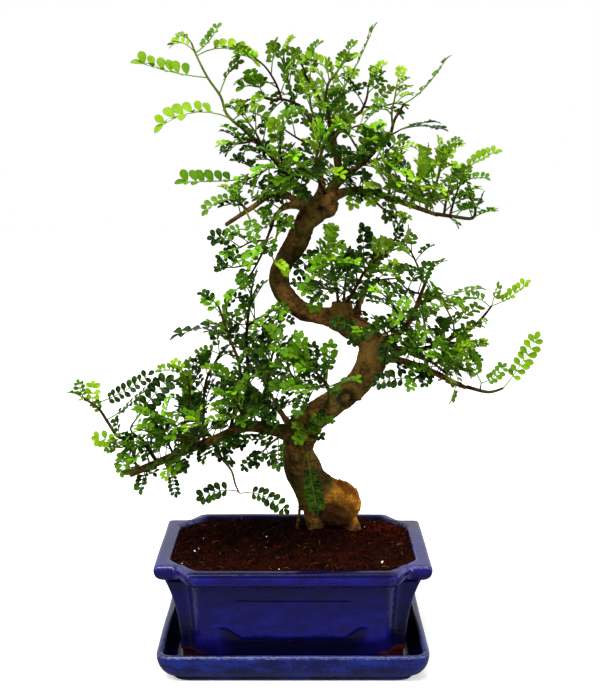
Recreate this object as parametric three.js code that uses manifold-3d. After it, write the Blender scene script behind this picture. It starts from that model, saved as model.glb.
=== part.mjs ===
// Sichuan pepper bonsai in a glazed pot that stands on its saucer.
// Millimetres, +Z up, front towards -Y. The origin is the centre of the saucer's flat underside.
import * as THREE from 'three';
import { mergeVertices } from 'three/addons/utils/BufferGeometryUtils.js';
import Module from 'manifold-3d';

const wasm = await Module();
wasm.setup();

// Driving dimensions of the pot
const RIM_HALF = [100, 75];
const RIM_TOP = 83;
const LIP_HEIGHT = 11;
const LIP_NOTCH = { side: 17, root: [16, 17], front: 25 };
const BODY_TOP_HALF = [92, 67.5];
const BODY_FOOT_HALF = [82, 58];
const FRONT_PANEL_HALF = 68.5;
const NOTCH_ROOT_X = [73, 77];
const NOTCH_SIDE = [10, 16];
const FOOT_HEIGHT = 11;
const FLOOR_THICKNESS = 6;
const DRAIN_HOLE_RADIUS = 7;
const DRAIN_HOLE_X = 40;

// Driving dimensions of the saucer
const SAUCER_HALF = [97.8, 74.3];
const SAUCER_HEIGHT = 21.7;
const SAUCER_FOOT_HALF = [84, 63.5];
const SAUCER_FLOOR = 6;
const SAUCER_RIM_WIDTH = 4.6;
const SAUCER_CORNER = 13;

// Driving dimensions of the soil, the drain nets and the foliage
const SOIL_EDGE = 81;
const MOUND_CENTRE = [14, 18];
const MOUND_SPREAD = [48, 34];
const MOUND_RISE = 6.5;
const CLEARANCE = 0.3;
const NET_HALF = 12;
const NET_THICKNESS = 1.2;
const BLADE_THICKNESS = 0.7;
const LEAFLET_LENGTH = 12;
const LEAFLET_HALF_WIDTH = 5;
const RULE_FOLD = 0.42;
const SHORT_LEAF = 23;
const SHORT_LEAF_PAIRS = 4;

// One closed body as a mesh in the scene graph
const group = new THREE.Group();
function addPiece(name, solid, color, roughness) {
  const mesh = solid.getMesh();
  const geometry = new THREE.BufferGeometry();
  geometry.setAttribute('position', new THREE.BufferAttribute(new Float32Array(mesh.vertProperties), 3));
  geometry.setIndex(new THREE.BufferAttribute(new Uint32Array(mesh.triVerts), 1));
  geometry.computeVertexNormals();
  const material = new THREE.MeshStandardMaterial({ color, roughness, metalness: 0 });
  const piece = new THREE.Mesh(geometry, material);
  piece.name = name;
  group.add(piece);
}

function solidFrom(geometry) {
  const bare = geometry.clone();
  bare.deleteAttribute('normal');
  bare.deleteAttribute('uv');
  const merged = mergeVertices(bare, 1e-4);
  return new wasm.Manifold(new wasm.Mesh({
    numProp: 3,
    vertProperties: new Float32Array(merged.attributes.position.array),
    triVerts: new Uint32Array(merged.index.array),
  }));
}

function solidFromFaces(points, faces) {
  return new wasm.Manifold(new wasm.Mesh({
    numProp: 3,
    vertProperties: new Float32Array(points.flatMap((p) => [p.x, p.y, p.z])),
    triVerts: new Uint32Array(faces.flat()),
  }));
}

// A skin through rings of equal count, each counterclockwise from above, closed at both ends
function loft(rings) {
  const count = rings[0].length;
  const points = rings.flat();
  const faces = [];
  for (let level = 0; level + 1 < rings.length; level += 1) {
    for (let i = 0; i < count; i += 1) {
      const here = level * count + i;
      const next = level * count + (i + 1) % count;
      faces.push([here, next, next + count]);
      faces.push([here, next + count, here + count]);
    }
  }
  const flat = (ring) => ring.map((p) => new THREE.Vector2(p.x, p.y));
  const last = (rings.length - 1) * count;
  for (const [a, b, c] of THREE.ShapeUtils.triangulateShape(flat(rings[0]), [])) {
    faces.push([a, c, b]);
  }
  for (const [a, b, c] of THREE.ShapeUtils.triangulateShape(flat(rings[rings.length - 1]), [])) {
    faces.push([last + a, last + b, last + c]);
  }
  return solidFromFaces(points, faces);
}

// A closed loop whose corners are rounded by curves, each with its own cut and count of points
function roundedLoop(corners, z) {
  const ring = [];
  corners.forEach((corner, i) => {
    const before = corners[(i + corners.length - 1) % corners.length].at;
    const after = corners[(i + 1) % corners.length].at;
    const start = corner.at.clone().add(before.clone().sub(corner.at).setLength(corner.cut));
    const end = corner.at.clone().add(after.clone().sub(corner.at).setLength(corner.cut));
    const curve = new THREE.QuadraticBezierCurve(start, corner.at, end);
    for (const p of curve.getPoints(corner.steps)) {
      ring.push(new THREE.Vector3(p.x, p.y, z));
    }
  });
  return ring;
}

// A rectangle whose corners are cut away, by a notch with its root point or by a chamfer
function cutRectangle(half, notch, z) {
  const corners = [];
  const signs = [[1, 1], [-1, 1], [-1, -1], [1, -1]];
  signs.forEach(([sx, sy], quadrant) => {
    const corner = (dx, dy, cut, steps) => ({
      at: new THREE.Vector2(sx * (half[0] - dx), sy * (half[1] - dy)),
      cut,
      steps,
    });
    const side = corner(0, notch.side, 3, 1);
    const root = corner(...notch.root, 5, 2);
    const front = corner(notch.front, 0, 4, 1);
    corners.push(...(quadrant % 2 === 0 ? [side, root, front] : [front, root, side]));
  });
  return roundedLoop(corners, z);
}

function box(low, high) {
  const size = high.map((value, i) => value - low[i]);
  const block = new THREE.BoxGeometry(...size);
  block.translate(...low.map((value, i) => value + size[i] / 2));
  return solidFrom(block);
}

// The pot: the lip, the wall that tapers to the foot, the inside, and four feet under the corners
const UNDERSIDE = SAUCER_FLOOR + FOOT_HEIGHT;
const INSIDE_FLOOR = UNDERSIDE + FLOOR_THICKNESS;
const LIP_BOTTOM = RIM_TOP - LIP_HEIGHT;

function between(low, high, fraction) {
  return low + (high - low) * fraction;
}

function wallRing(fraction, inset = 0) {
  // The flare is slow near the ground and quick under the lip
  const ease = fraction ** 2.2;
  const half = BODY_FOOT_HALF.map((foot, i) => between(foot, BODY_TOP_HALF[i], ease));
  const side = between(...NOTCH_SIDE, fraction);
  const notch = {
    side,
    root: [half[0] - between(...NOTCH_ROOT_X, fraction), side],
    front: half[0] - FRONT_PANEL_HALF,
  };
  const z = between(UNDERSIDE, LIP_BOTTOM - 3, fraction);
  return cutRectangle(half.map((value) => value - inset), notch, z);
}

// The inside, from its floor up to the opening. Its corners are chamfered
const INSIDE = [
  { z: INSIDE_FLOOR, half: [75, 51], chamfer: [20, 20] },
  { z: LIP_BOTTOM - 2, half: [86.5, 61.5], chamfer: [24, 30] },
  { z: RIM_TOP, half: [89.5, 66.5], chamfer: [22, 26] },
];

function insideRing(z, gap) {
  const k = z < INSIDE[1].z ? 0 : 1;
  const fraction = (z - INSIDE[k].z) / (INSIDE[k + 1].z - INSIDE[k].z);
  const half = [0, 1].map((i) => between(INSIDE[k].half[i], INSIDE[k + 1].half[i], fraction) - gap);
  const [cx, cy] = [0, 1].map((i) => between(INSIDE[k].chamfer[i], INSIDE[k + 1].chamfer[i], fraction));
  return cutRectangle(half, { side: cy, root: [cx * 0.46, cy * 0.46], front: cx }, z);
}

function buildPot() {
  const rings = [0, 0.35, 0.7, 1].map((fraction) => wallRing(fraction));
  const lip = (inset, z) => cutRectangle(RIM_HALF.map((half) => half - inset), LIP_NOTCH, z);
  rings.push(lip(4.4, LIP_BOTTOM - 0.6));
  rings.push(lip(0.4, LIP_BOTTOM + 4.2));
  rings.push(lip(0, RIM_TOP - 1.5));
  rings.push(lip(1.5, RIM_TOP));
  for (const level of [...INSIDE].reverse()) {
    rings.push(insideRing(level.z, 0));
  }
  let pot = loft(rings);
  const footBlock = loft([wallRing(0, 2), wallRing(0, 1.2)].map((ring, i) => {
    return ring.map((p) => new THREE.Vector3(p.x, p.y, i === 0 ? SAUCER_FLOOR : UNDERSIDE + 1));
  }));
  const [footX, footY] = BODY_FOOT_HALF;
  const arch = new THREE.Shape();
  arch.moveTo(-footX * 0.56, 0);
  arch.lineTo(footX * 0.56, 0);
  arch.quadraticCurveTo(footX * 0.54, FOOT_HEIGHT, footX * 0.4, FOOT_HEIGHT);
  arch.lineTo(-footX * 0.4, FOOT_HEIGHT);
  arch.quadraticCurveTo(-footX * 0.54, FOOT_HEIGHT, -footX * 0.56, 0);
  const through = { depth: 4 * footY, bevelEnabled: false, curveSegments: 2 };
  const frontArch = new THREE.ExtrudeGeometry(arch, through);
  frontArch.rotateX(Math.PI / 2);
  frontArch.translate(0, 2 * footY, SAUCER_FLOOR);
  const sideArch = frontArch.clone();
  sideArch.rotateZ(Math.PI / 2);
  sideArch.scale(1.6, 0.62, 1);
  const below = SAUCER_FLOOR - 1;
  const middle = box([-footX * 0.72, -footY * 0.66, below], [footX * 0.72, footY * 0.66, UNDERSIDE]);
  const feet = footBlock
    .subtract(solidFrom(frontArch))
    .subtract(solidFrom(sideArch))
    .subtract(middle);
  pot = pot.add(feet);
  for (const side of [-1, 1]) {
    const drill = new THREE.CylinderGeometry(DRAIN_HOLE_RADIUS, DRAIN_HOLE_RADIUS, 4 * FLOOR_THICKNESS, 16);
    drill.rotateX(Math.PI / 2);
    drill.translate(side * DRAIN_HOLE_X, 0, UNDERSIDE);
    pot = pot.subtract(solidFrom(drill));
  }
  return pot;
}

// The saucer: a stepped foot, a rounded wall, a soft rim and a sunk floor
function buildSaucer() {
  const ring = (half, corner, z) => {
    const corners = [[1, 1], [-1, 1], [-1, -1], [1, -1]].map(([sx, sy]) => ({
      at: new THREE.Vector2(sx * half[0], sy * half[1]),
      cut: corner,
      steps: 4,
    }));
    return roundedLoop(corners, z);
  };
  const outset = SAUCER_HALF.map((half, i) => half - SAUCER_FOOT_HALF[i]);
  const wall = (fraction, z) => ring(
    SAUCER_FOOT_HALF.map((half, i) => half + outset[i] * fraction),
    SAUCER_CORNER,
    z,
  );
  const inner = (inset, z) => ring(SAUCER_HALF.map((half) => half - inset), SAUCER_CORNER * 0.8, z);
  return loft([
    wall(0, 0),
    wall(0.2, 3.4),
    wall(0.42, 4.2),
    wall(0.74, 8),
    wall(0.94, 13),
    wall(1, SAUCER_HEIGHT - 2),
    inner(1, SAUCER_HEIGHT),
    inner(SAUCER_RIM_WIDTH, SAUCER_HEIGHT - 0.4),
    inner(SAUCER_RIM_WIDTH + 3.5, SAUCER_FLOOR + 4),
    inner(SAUCER_RIM_WIDTH + 8, SAUCER_FLOOR),
  ]);
}

// The drain nets: flat squares of plastic net over the two drain holes
const NET_SLOT = 2.6;
const NET_PITCH = 5;
function buildNet(side) {
  const slab = (x, halfX, halfY, reach) => box(
    [x - halfX, -halfY, INSIDE_FLOOR - reach],
    [x + halfX, halfY, INSIDE_FLOOR + NET_THICKNESS + reach],
  );
  const centre = side * DRAIN_HOLE_X;
  let net = slab(centre, NET_HALF, NET_HALF, 0);
  for (const column of [-1.5, -0.5, 0.5, 1.5]) {
    net = net.subtract(slab(centre + column * NET_PITCH, NET_SLOT / 2, NET_HALF - NET_SLOT, 1));
  }
  return net;
}

// Seeded draws, so that each build grows the same tree
function seededDraws(seed) {
  let state = seed >>> 0;
  return () => {
    state = (state + 0x6d2b79f5) >>> 0;
    let t = state;
    t = Math.imul(t ^ (t >>> 15), t | 1);
    t ^= t + Math.imul(t ^ (t >>> 7), t | 61);
    return ((t ^ (t >>> 14)) >>> 0) / 4294967296;
  };
}

// A tapered stem through points of [x, y, z, radius]. The bumps make old wood uneven
function stemSolid(line, sides, stepsEach, swell = 0, bumps = 0) {
  const spine = line.map((p) => new THREE.Vector3(p[0], p[1], p[2]));
  const curve = new THREE.CatmullRomCurve3(spine, false, 'centripetal');
  const steps = (line.length - 1) * stepsEach;
  const rings = [];
  let side = new THREE.Vector3(0, 1, 0.01);
  for (let i = 0; i <= steps; i += 1) {
    const t = i / steps;
    const at = curve.getPoint(t);
    const along = curve.getTangent(t);
    side = side.clone().addScaledVector(along, -side.dot(along)).normalize();
    const up = new THREE.Vector3().crossVectors(along, side);
    const k = Math.min(Math.floor(t * (line.length - 1)), line.length - 2);
    const blend = t * (line.length - 1) - k;
    const radius = line[k][3] * (1 - blend) + line[k + 1][3] * blend + swell;
    const ring = [];
    for (let j = 0; j < sides; j += 1) {
      const angle = (j / sides) * 2 * Math.PI;
      const bump = 1 + bumps * (Math.sin(3 * angle + i * 0.9) + Math.sin(2 * angle - i * 1.7)) / 2;
      ring.push(at.clone()
        .addScaledVector(side, Math.cos(angle) * radius * bump)
        .addScaledVector(up, Math.sin(angle) * radius * bump));
    }
    rings.push(ring);
  }
  const points = rings.flat();
  const faces = [];
  for (let level = 0; level < steps; level += 1) {
    for (let j = 0; j < sides; j += 1) {
      const here = level * sides + j;
      const next = level * sides + (j + 1) % sides;
      faces.push([here, next, next + sides]);
      faces.push([here, next + sides, here + sides]);
    }
  }
  const last = steps * sides;
  for (let j = 1; j + 1 < sides; j += 1) {
    faces.push([0, j + 1, j]);
    faces.push([last, last + j, last + j + 1]);
  }
  return solidFromFaces(points, faces);
}

// The wood, all grown as one: each line is [x, y, z, radius] from its root outward
const TRUNK = [
  [15.6, 16, 101, 7.8], [15, 15, 109, 10.6], [13.5, 14, 121, 13.4], [9, 12, 133, 14], [4, 8, 147, 12.2],
  [3.5, 4, 157, 12], [6, 0, 167, 12], [12, -2, 177, 11.6], [25, -2, 187, 10], [39.5, 0, 196.5, 9.4],
  [50.5, 2, 207, 10], [57, 3, 219, 10.9], [59, 3, 231, 10.5], [53, 2, 241, 9.8], [41, 0, 248, 8.9],
  [28, -3, 254, 7.4], [17, -5, 256, 6.6], [6, -6, 260, 6.6], [-3, -7, 268, 7.2], [-9, -6, 277, 7.2],
  [-10, -4, 287, 7.2], [-6, -2, 296, 7.5], [0, 0, 305, 8.4], [5, 2, 314, 8.4], [8.5, 3, 322, 7.8],
  [13, 3, 329, 9.4], [17.5, 3, 338, 12.4],
];
const BRANCHES = [
  [[15, 3, 336, 9.8], [24, 1, 334.5, 8.6], [30.5, -1, 332.5, 6]],
  [[4, 0, 164, 6.5], [-16, -8, 172, 5], [-35, -14, 175, 4.2], [-53, -18, 168, 3.6],
   [-77, -20, 159, 3.2], [-99, -22, 150, 2.9], [-120, -22, 141, 2.7]],
  [[65, 3, 223, 3.8], [79, -2, 222, 2.8], [97, -6, 217, 2.3], [112, -8, 210, 2.1],
   [127, -10, 203, 1.8]],
  [[62, 6, 231, 3.6], [81, 12, 228, 2.6], [99, 16, 228, 2], [119, 18, 236, 1.6]],
  [[59, 2, 235, 3.6], [76, -6, 242, 2.5], [85, -10, 253, 2.1], [91, -14, 269, 1.8]],
  [[37, 0, 250, 6.5], [36, 0, 258, 8.2], [36, 0, 265, 7.6]],
  [[14, 2, 335, 4.4], [1, -6, 341, 2.6], [-13, -12, 345, 2.2], [-28, -18, 336, 1.9],
   [-48, -22, 323, 1.6]],
  [[11, 0, 335, 3.6], [-4, -8, 336, 2.2], [-12, -14, 330, 1.8], [-16, -17, 321, 1.5]],
  [[14, 5, 336, 4.7], [6, 6, 347, 3], [-5, 2, 358, 2.4], [-16, -4, 372, 2], [-38, -10, 393, 1.4]],
  [[21, 4, 337, 5.8], [29, 5, 349, 3.8], [33, 5, 361, 3.2], [28, 3, 387, 2.3], [23, -2, 411, 1.3]],
  [[29, 3, 385, 2.2], [18, 4, 392, 1.9], [4, 4, 407, 1.4]],
  [[29, 3, 384, 2.2], [38, 8, 395, 1.8], [50, 12, 403, 1.4]],
  [[27, 2, 347, 3.6], [37, -8, 356, 2.5], [52, -18, 369, 1.9], [61, -20, 379, 1.7]],
  [[21, 0, 337, 5.8], [37, -8, 346, 3.2], [54, -12, 347, 2.6], [72, -16, 341, 2.2],
   [103, -21, 330, 1.6]],
  [[20, 8, 337, 5.1], [21, 24, 350, 2.8], [18, 40, 365, 2]],
  [[43, 6, 247, 5.1], [49, 26, 259, 2.8], [55, 44, 270, 2.1]],
  [[5, 4, 162, 5.8], [-3, 28, 167, 2.9], [-12, 46, 176, 2.2]],
  [[24, -4, 188, 3.6], [26, -27, 198, 1.6]],
];
const ROOTS = [
  [[15.6, 16, 106, 8.6], [16, 17, 96, 7.4], [17, 20, 86, 6], [17, 20, 74, 4.4], [8, 14, 60, 2.2]],
  [[11, 13, 128, 12], [21, 17, 119, 13.4], [31, 20, 109, 13.4]],
  [[37, 20, 105, 8], [42, 22, 95, 7], [46, 24, 86, 5.6], [50, 28, 74, 3.6], [62, 34, 58, 1.8]],
  [[22, 22, 110, 7], [24, 32, 96, 5], [24, 40, 80, 3.4], [12, 44, 60, 1.8]],
  [[9, 16, 112, 2.4], [5, 18, 104, 1.6], [3, 21, 88, 1.4], [-4, 22, 76, 1.2]],
];
const BURL_CENTRE = [33.5, 20, 107.5];
const BURL_RADII = [18, 15, 18.4];

function buildBurl(swell) {
  const ball = new THREE.SphereGeometry(1, 10, 7);
  const position = ball.attributes.position;
  for (let i = 0; i < position.count; i += 1) {
    const [x, y, z] = [position.getX(i), position.getY(i), position.getZ(i)];
    const lump = 1 + 0.07 * Math.sin(5 * x + 3 * z) * Math.cos(4 * y - 2 * x);
    position.setXYZ(
      i,
      BURL_CENTRE[0] + x * (BURL_RADII[0] * lump + swell),
      BURL_CENTRE[1] + y * (BURL_RADII[1] * lump + swell),
      BURL_CENTRE[2] + z * (BURL_RADII[2] * lump + swell),
    );
  }
  return solidFrom(ball);
}

function buildRoots(swell) {
  return ROOTS.reduce((sum, line) => sum.add(stemSolid(line, 6, 1, swell)), buildBurl(swell));
}

function buildWood(swell) {
  const trunk = stemSolid(TRUNK, 10, 1, swell, 0.07).add(buildRoots(swell));
  return BRANCHES.reduce((sum, line) => sum.add(stemSolid(line, 5, 1, swell)), trunk);
}

// The soil: a mound of loose earth that fills the pot, with plain holes for the roots
function soilHeight(x, y) {
  const [awayX, awayY] = [(x - MOUND_CENTRE[0]) / MOUND_SPREAD[0], (y - MOUND_CENTRE[1]) / MOUND_SPREAD[1]];
  const rise = MOUND_RISE * Math.exp(-(awayX ** 2) - awayY ** 2);
  const lumps = 1.1 * Math.sin(x * 0.17 + 1.3) * Math.cos(y * 0.21) + 0.8 * Math.sin(x * 0.31 - y * 0.27);
  return SOIL_EDGE + 0.4 + rise + lumps;
}

function buildSoil(roots, nets) {
  const rings = [INSIDE[0].z, INSIDE[1].z, SOIL_EDGE].map((z) => insideRing(z, CLEARANCE));
  const rim = rings[rings.length - 1];
  for (const shrink of [0.9, 0.7, 0.45, 0.2]) {
    rings.push(rim.map((p) => {
      const [x, y] = [p.x * shrink, p.y * shrink];
      return new THREE.Vector3(x, y, soilHeight(x, y));
    }));
  }
  return [...nets, roots].reduce((soil, solid) => soil.subtract(solid), loft(rings));
}

// The foliage. A stem carries leaves placed by hand and leaves placed by the rule below.
// Twigs and leaf tips are noted where the photo shows them, as [column, row, depth]: its pixels, and
// millimetres behind the middle of the pot. The camera that fits the pot's rim and the saucer gives
// their places. A leaf placed by hand is [place along the stem, tip column, row, depth, arch, pairs
// of leaflets, how it is held]
const PHOTO_MIDDLE = { column: 300, row: 350 };
const PHOTO_FOCAL = 1342;
const PHOTO_TILT = (9.57 * Math.PI) / 180;
const PHOTO_CAMERA = { x: 5, away: 975, z: 394 };
const DARK = 0x2f6b1c;
const LIME = 0x7fb814;
const SPRAYS = [];
const RAISED = { facing: [0, -0.7, 1], fold: 0.7 };
const OPEN = { facing: [0, -1, 0.3], fold: 0.2 };
const LEVEL = { facing: [0, -0.1, 1], fold: 0.2 };
const EDGEWAYS = { facing: [-1, 0, 0.2], fold: 0.2 };

function seenAt(column, row, depth) {
  const across = (column - PHOTO_MIDDLE.column) / PHOTO_FOCAL;
  const up = (PHOTO_MIDDLE.row - row) / PHOTO_FOCAL;
  const reach = (PHOTO_CAMERA.away + depth) / (Math.cos(PHOTO_TILT) + up * Math.sin(PHOTO_TILT));
  const rise = reach * (up * Math.cos(PHOTO_TILT) - Math.sin(PHOTO_TILT));
  return [Math.round(PHOTO_CAMERA.x + across * reach), depth, Math.round(PHOTO_CAMERA.z + rise)];
}

function stem(radius, leafCount, leafLength, spots, leaves) {
  const line = spots.map((spot) => seenAt(...spot));
  const placed = leaves.map(([along, column, row, depth, ...leaf]) => (
    [along, ...seenAt(column, row, depth), ...leaf]
  ));
  return { radius, leafCount, leafLength, line, placed };
}

function spray(name, color, stems) {
  SPRAYS.push({ name, color, stems });
}

spray('top_left_shoot', LIME, [
  stem(1.3, 0, 34, [
    [240, 126, -10], [226, 113, -12], [220, 96, -12], [207, 77, -12], [197, 57, -14], [192, 42, -14]
  ], [
    [0.6, 132, 60, -22, -2, 6, RAISED], [0.12, 152, 132, -26, 9, 6, RAISED],
    [0.86, 222, 21, -10, -3, 6, RAISED], [0.82, 262, 68, -2, 9, 6, RAISED],
    [0.42, 241, 62, 4, 6, 5, EDGEWAYS], [0.86, 169, 48, -2, 5, 4, RAISED],
    [1, 176, 38, -24, 3, 4, RAISED], [0.1, 276, 134, -22, 10, 5, RAISED]
  ]),
]);
spray('crown_left', DARK, [
  stem(1.2, 3, 34, [
    [300, 106, 4], [285, 99, 2], [271, 100, 0], [259, 97, -6], [246, 101, -10]
  ], [
    [1, 238, 119, -16, 4, 4, RAISED], [0.5, 251, 112, -26, 6, 6, RAISED]
  ]),
  stem(1.0, 4, 34, [
    [282, 99, 2], [276, 84, -4], [266, 68, -8], [255, 58, -10]
  ], [
    [0.35, 236, 90, -16, 2, 4, RAISED]
  ]),
  stem(1.1, 5, 28, [
    [296, 105, 4], [290, 92, 20], [286, 74, 28], [284, 56, 32]
  ], [
    [1, 294, 38, 30, 3, 5, RAISED]
  ]),
]);
spray('crown_front_left', LIME, [
  stem(1.2, 4, 36, [
    [320, 127, 4], [312, 110, -14], [310, 96, -26]
  ], []),
]);
spray('crown_top_front', LIME, [
  stem(1.2, 5, 24, [
    [325, 98, -2], [328, 84, -14], [337, 72, -20], [343, 62, -22]
  ], [
    [1, 357, 42, -24, 2, 4, RAISED]
  ]),
]);
spray('crown_top_left', DARK, [
  stem(1.2, 4, 26, [
    [327, 110, 0], [314, 90, 8], [306, 74, 12], [301, 62, 12]
  ], [
    [0.9, 322, 42, 8, 2, 5, RAISED]
  ]),
]);
spray('crown_top_tall', LIME, [
  stem(1.2, 3, 26, [
    [330, 122, 3], [340, 100, 10], [346, 84, 12]
  ], [
    [0.95, 377, 21, 18, -2, 7, EDGEWAYS], [0.9, 297, 64, 0, 8, 6, RAISED]
  ]),
]);
spray('crown_back', DARK, [
  stem(1.5, 4, 36, [
    [318, 164, 40], [324, 144, 52], [322, 122, 58], [318, 104, 62]
  ], []),
  stem(1.2, 3, 36, [
    [322, 150, 49], [300, 140, 58], [282, 128, 64]
  ], []),
  stem(1.2, 3, 30, [
    [324, 140, 53], [344, 130, 62], [364, 124, 68]
  ], []),
]);
spray('crown_right', DARK, [
  stem(1.2, 3, 26, [
    [361, 112, 12], [366, 98, 8], [369, 84, 4]
  ], [
    [1, 387, 62, 4, 2, 5, RAISED]
  ]),
  stem(1.0, 3, 24, [
    [363, 107, 11], [378, 107, 14], [396, 103, 14]
  ], []),
]);
spray('right_shoot', LIME, [
  stem(1.5, 0, 32, [
    [378, 147, -20], [389, 135, -20], [394, 121, -20], [400, 111, -20], [405, 103, -22]
  ], [
    [1, 450, 52, -26, -5, 7, EDGEWAYS]
  ]),
  stem(0.9, 3, 20, [
    [392, 127, -20], [392, 112, -26], [395, 96, -28], [397, 84, -28]
  ], [
    [0.3, 371, 114, -36, 3, 4, RAISED]
  ]),
  stem(0.9, 0, 32, [
    [387, 137, -20], [396, 132, -24], [401, 130, -26]
  ], [
    [0.9, 441, 123, -16, 2, 7, LEVEL], [1, 448, 131, -40, 3, 7, LEVEL]
  ]),
]);
spray('right_inner', DARK, [
  stem(1.2, 5, 30, [
    [366, 159, -18], [358, 148, -32], [350, 136, -40]
  ], []),
  stem(1.1, 4, 30, [
    [364, 156, -22], [362, 149, 0], [367, 141, 20]
  ], []),
]);
spray('left_upper', DARK, [
  stem(1.2, 3, 26, [
    [256, 140, -8], [246, 142, -18], [238, 144, -22]
  ], [
    [1, 219, 156, -26, 3, 4, LEVEL], [0.7, 220, 131, -14, 2, 4, LEVEL]
  ]),
]);
spray('left_upper_back', DARK, [
  stem(1.2, 4, 34, [
    [264, 149, -6], [256, 134, 14], [248, 122, 24]
  ], []),
]);
spray('left_mid', DARK, [
  stem(1.2, 4, 28, [
    [276, 162, -2], [262, 172, -10], [248, 180, -14]
  ], [
    [0.95, 175, 181, -22, -1, 6, RAISED], [0.6, 231, 160, -20, 2, 5, RAISED]
  ]),
]);
spray('left_front', DARK, [
  stem(1.3, 5, 32, [
    [291, 179, 4], [284, 168, -20], [280, 150, -34], [281, 134, -40]
  ], []),
]);
spray('left_front_low', LIME, [
  stem(1.2, 5, 34, [
    [303, 193, 6], [294, 182, -20], [288, 174, -34]
  ], []),
]);
spray('collar_front', DARK, [
  stem(1.4, 6, 34, [
    [326, 197, 5], [318, 180, -22], [316, 160, -36], [320, 142, -42]
  ], []),
]);
spray('left_low_shoot', DARK, [
  stem(1.1, 3, 22, [
    [246, 210, -20], [240, 203, -26], [234, 198, -28]
  ], [
    [0.6, 200, 218, -30, 6, 5, RAISED]
  ]),
  stem(0.9, 0, 30, [
    [243, 207, -23], [250, 220, -30], [247, 231, -30]
  ], [
    [0.3, 256, 246, -34, 3, 4, OPEN], [1, 219, 247, -34, 5, 5, OPEN]
  ]),
]);
spray('left_hanging', DARK, [
  stem(1.3, 4, 28, [
    [272, 226, -17], [266, 240, -20], [262, 254, -22], [252, 272, -24], [240, 288, -26]
  ], []),
  stem(1.0, 3, 26, [
    [266, 240, -20], [252, 242, -28], [240, 248, -32]
  ], [
    [1, 207, 240, -34, 4, 4, OPEN], [0.8, 217, 263, -32, 2, 5, OPEN]
  ]),
  stem(1.0, 3, 26, [
    [257, 264, -23], [244, 266, -30], [234, 268, -32]
  ], [
    [1, 213, 272, -34, 3, 5, OPEN]
  ]),
]);
spray('left_hanging_right', LIME, [
  stem(1.1, 3, 24, [
    [277, 213, -13], [277, 232, -24], [272, 252, -32], [276, 264, -36]
  ], [
    [0.45, 292, 221, -30, 2, 5, RAISED]
  ]),
]);
spray('stub_left', DARK, [
  stem(1.4, 4, 28, [
    [338, 304, 0], [337, 292, -3], [334, 276, -8], [329, 254, -12], [331, 241, -12]
  ], [
    [0.75, 293, 277, -22, 5, 5, OPEN]
  ]),
  stem(1.0, 5, 32, [
    [335, 281, -6], [334, 268, -22], [328, 258, -32]
  ], []),
  stem(1.0, 4, 32, [
    [337, 292, -3], [323, 288, -14], [313, 287, -22]
  ], []),
]);
spray('stub_right', DARK, [
  stem(1.5, 6, 30, [
    [347, 304, 0], [358, 284, -4], [367, 270, -8], [384, 252, -10], [396, 238, -12]
  ], [
    [0.45, 362, 226, -16, 4, 5, RAISED]
  ]),
]);
spray('stub_back', DARK, [
  stem(1.3, 5, 34, [
    [343, 304, 4], [346, 282, 24], [349, 264, 36]
  ], []),
]);
spray('mid_back', DARK, [
  stem(1.5, 4, 30, [
    [366, 288, 44], [370, 276, 58], [373, 266, 64], [375, 256, 68]
  ], []),
  stem(1.2, 3, 32, [
    [367, 283, 50], [384, 280, 60], [398, 278, 66]
  ], []),
]);
spray('right_upright', DARK, [
  stem(1.6, 0, 34, [
    [418, 302, -14], [427, 280, -14], [434, 261, -14]
  ], []),
  stem(1.0, 5, 24, [
    [425, 285, -14], [417, 266, -18], [411, 252, -20], [404, 244, -24]
  ], []),
  stem(1.0, 4, 34, [
    [421, 294, -14], [408, 290, -22], [398, 280, -28]
  ], []),
  stem(1.0, 2, 32, [
    [420, 297, -14], [432, 298, -20], [441, 299, -22]
  ], [
    [1, 487, 289, -24, 2, 5, LEVEL], [0.8, 465, 307, -32, 3, 4, LEVEL]
  ]),
]);
spray('right_up_front', DARK, [
  stem(1.3, 6, 34, [
    [404, 327, -8], [396, 312, -26], [386, 298, -36]
  ], []),
  stem(1.0, 4, 26, [
    [400, 320, -17], [392, 330, -27], [380, 334, -31], [364, 330, -32]
  ], [
    [1, 330, 321, -34, 1, 5, OPEN], [0.75, 346, 346, -36, 3, 4, OPEN], [0.3, 386, 366, -36, 2, 4, OPEN]
  ]),
]);
spray('right_mid_tip', LIME, [
  stem(1.5, 1, 30, [
    [450, 338, 18], [470, 330, 18], [484, 316, 18], [492, 306, 18]
  ], [
    [1, 531, 279, 14, -3, 6, RAISED], [0.95, 463, 299, 10, 4, 4, RAISED],
    [0.6, 487, 324, 8, 1, 4, RAISED]
  ]),
  stem(1.0, 4, 32, [
    [453, 337, 18], [453, 324, 10], [450, 314, 4]
  ], []),
]);
spray('right_mid_low', DARK, [
  stem(1.3, 7, 30, [
    [422, 349, 15], [438, 345, 4], [456, 343, 0], [466, 348, -2]
  ], [
    [1, 489, 345, -4, 3, 5, OPEN], [1, 481, 366, -8, 2, 4, OPEN]
  ]),
  stem(1.1, 6, 38, [
    [433, 347, 8], [426, 334, 30], [424, 318, 44]
  ], []),
]);
spray('right_low_tip', LIME, [
  stem(1.6, 0, 32, [
    [466, 387, -10], [488, 392, -10], [503, 388, -10]
  ], [
    [1, 539, 331, -12, -3, 7, OPEN]
  ]),
  stem(0.8, 0, 30, [
    [480, 390, -10], [481, 386, -13], [481, 383, -14]
  ], [
    [0.9, 507, 362, -18, -3, 5, OPEN], [1, 468, 346, -18, -2, 5, OPEN]
  ]),
]);
spray('right_low_mid', DARK, [
  stem(1.2, 1, 32, [
    [421, 367, -5], [419, 377, -14], [413, 378, -20]
  ], [
    [1, 370, 385, -34, 2, 5, OPEN]
  ]),
]);
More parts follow.
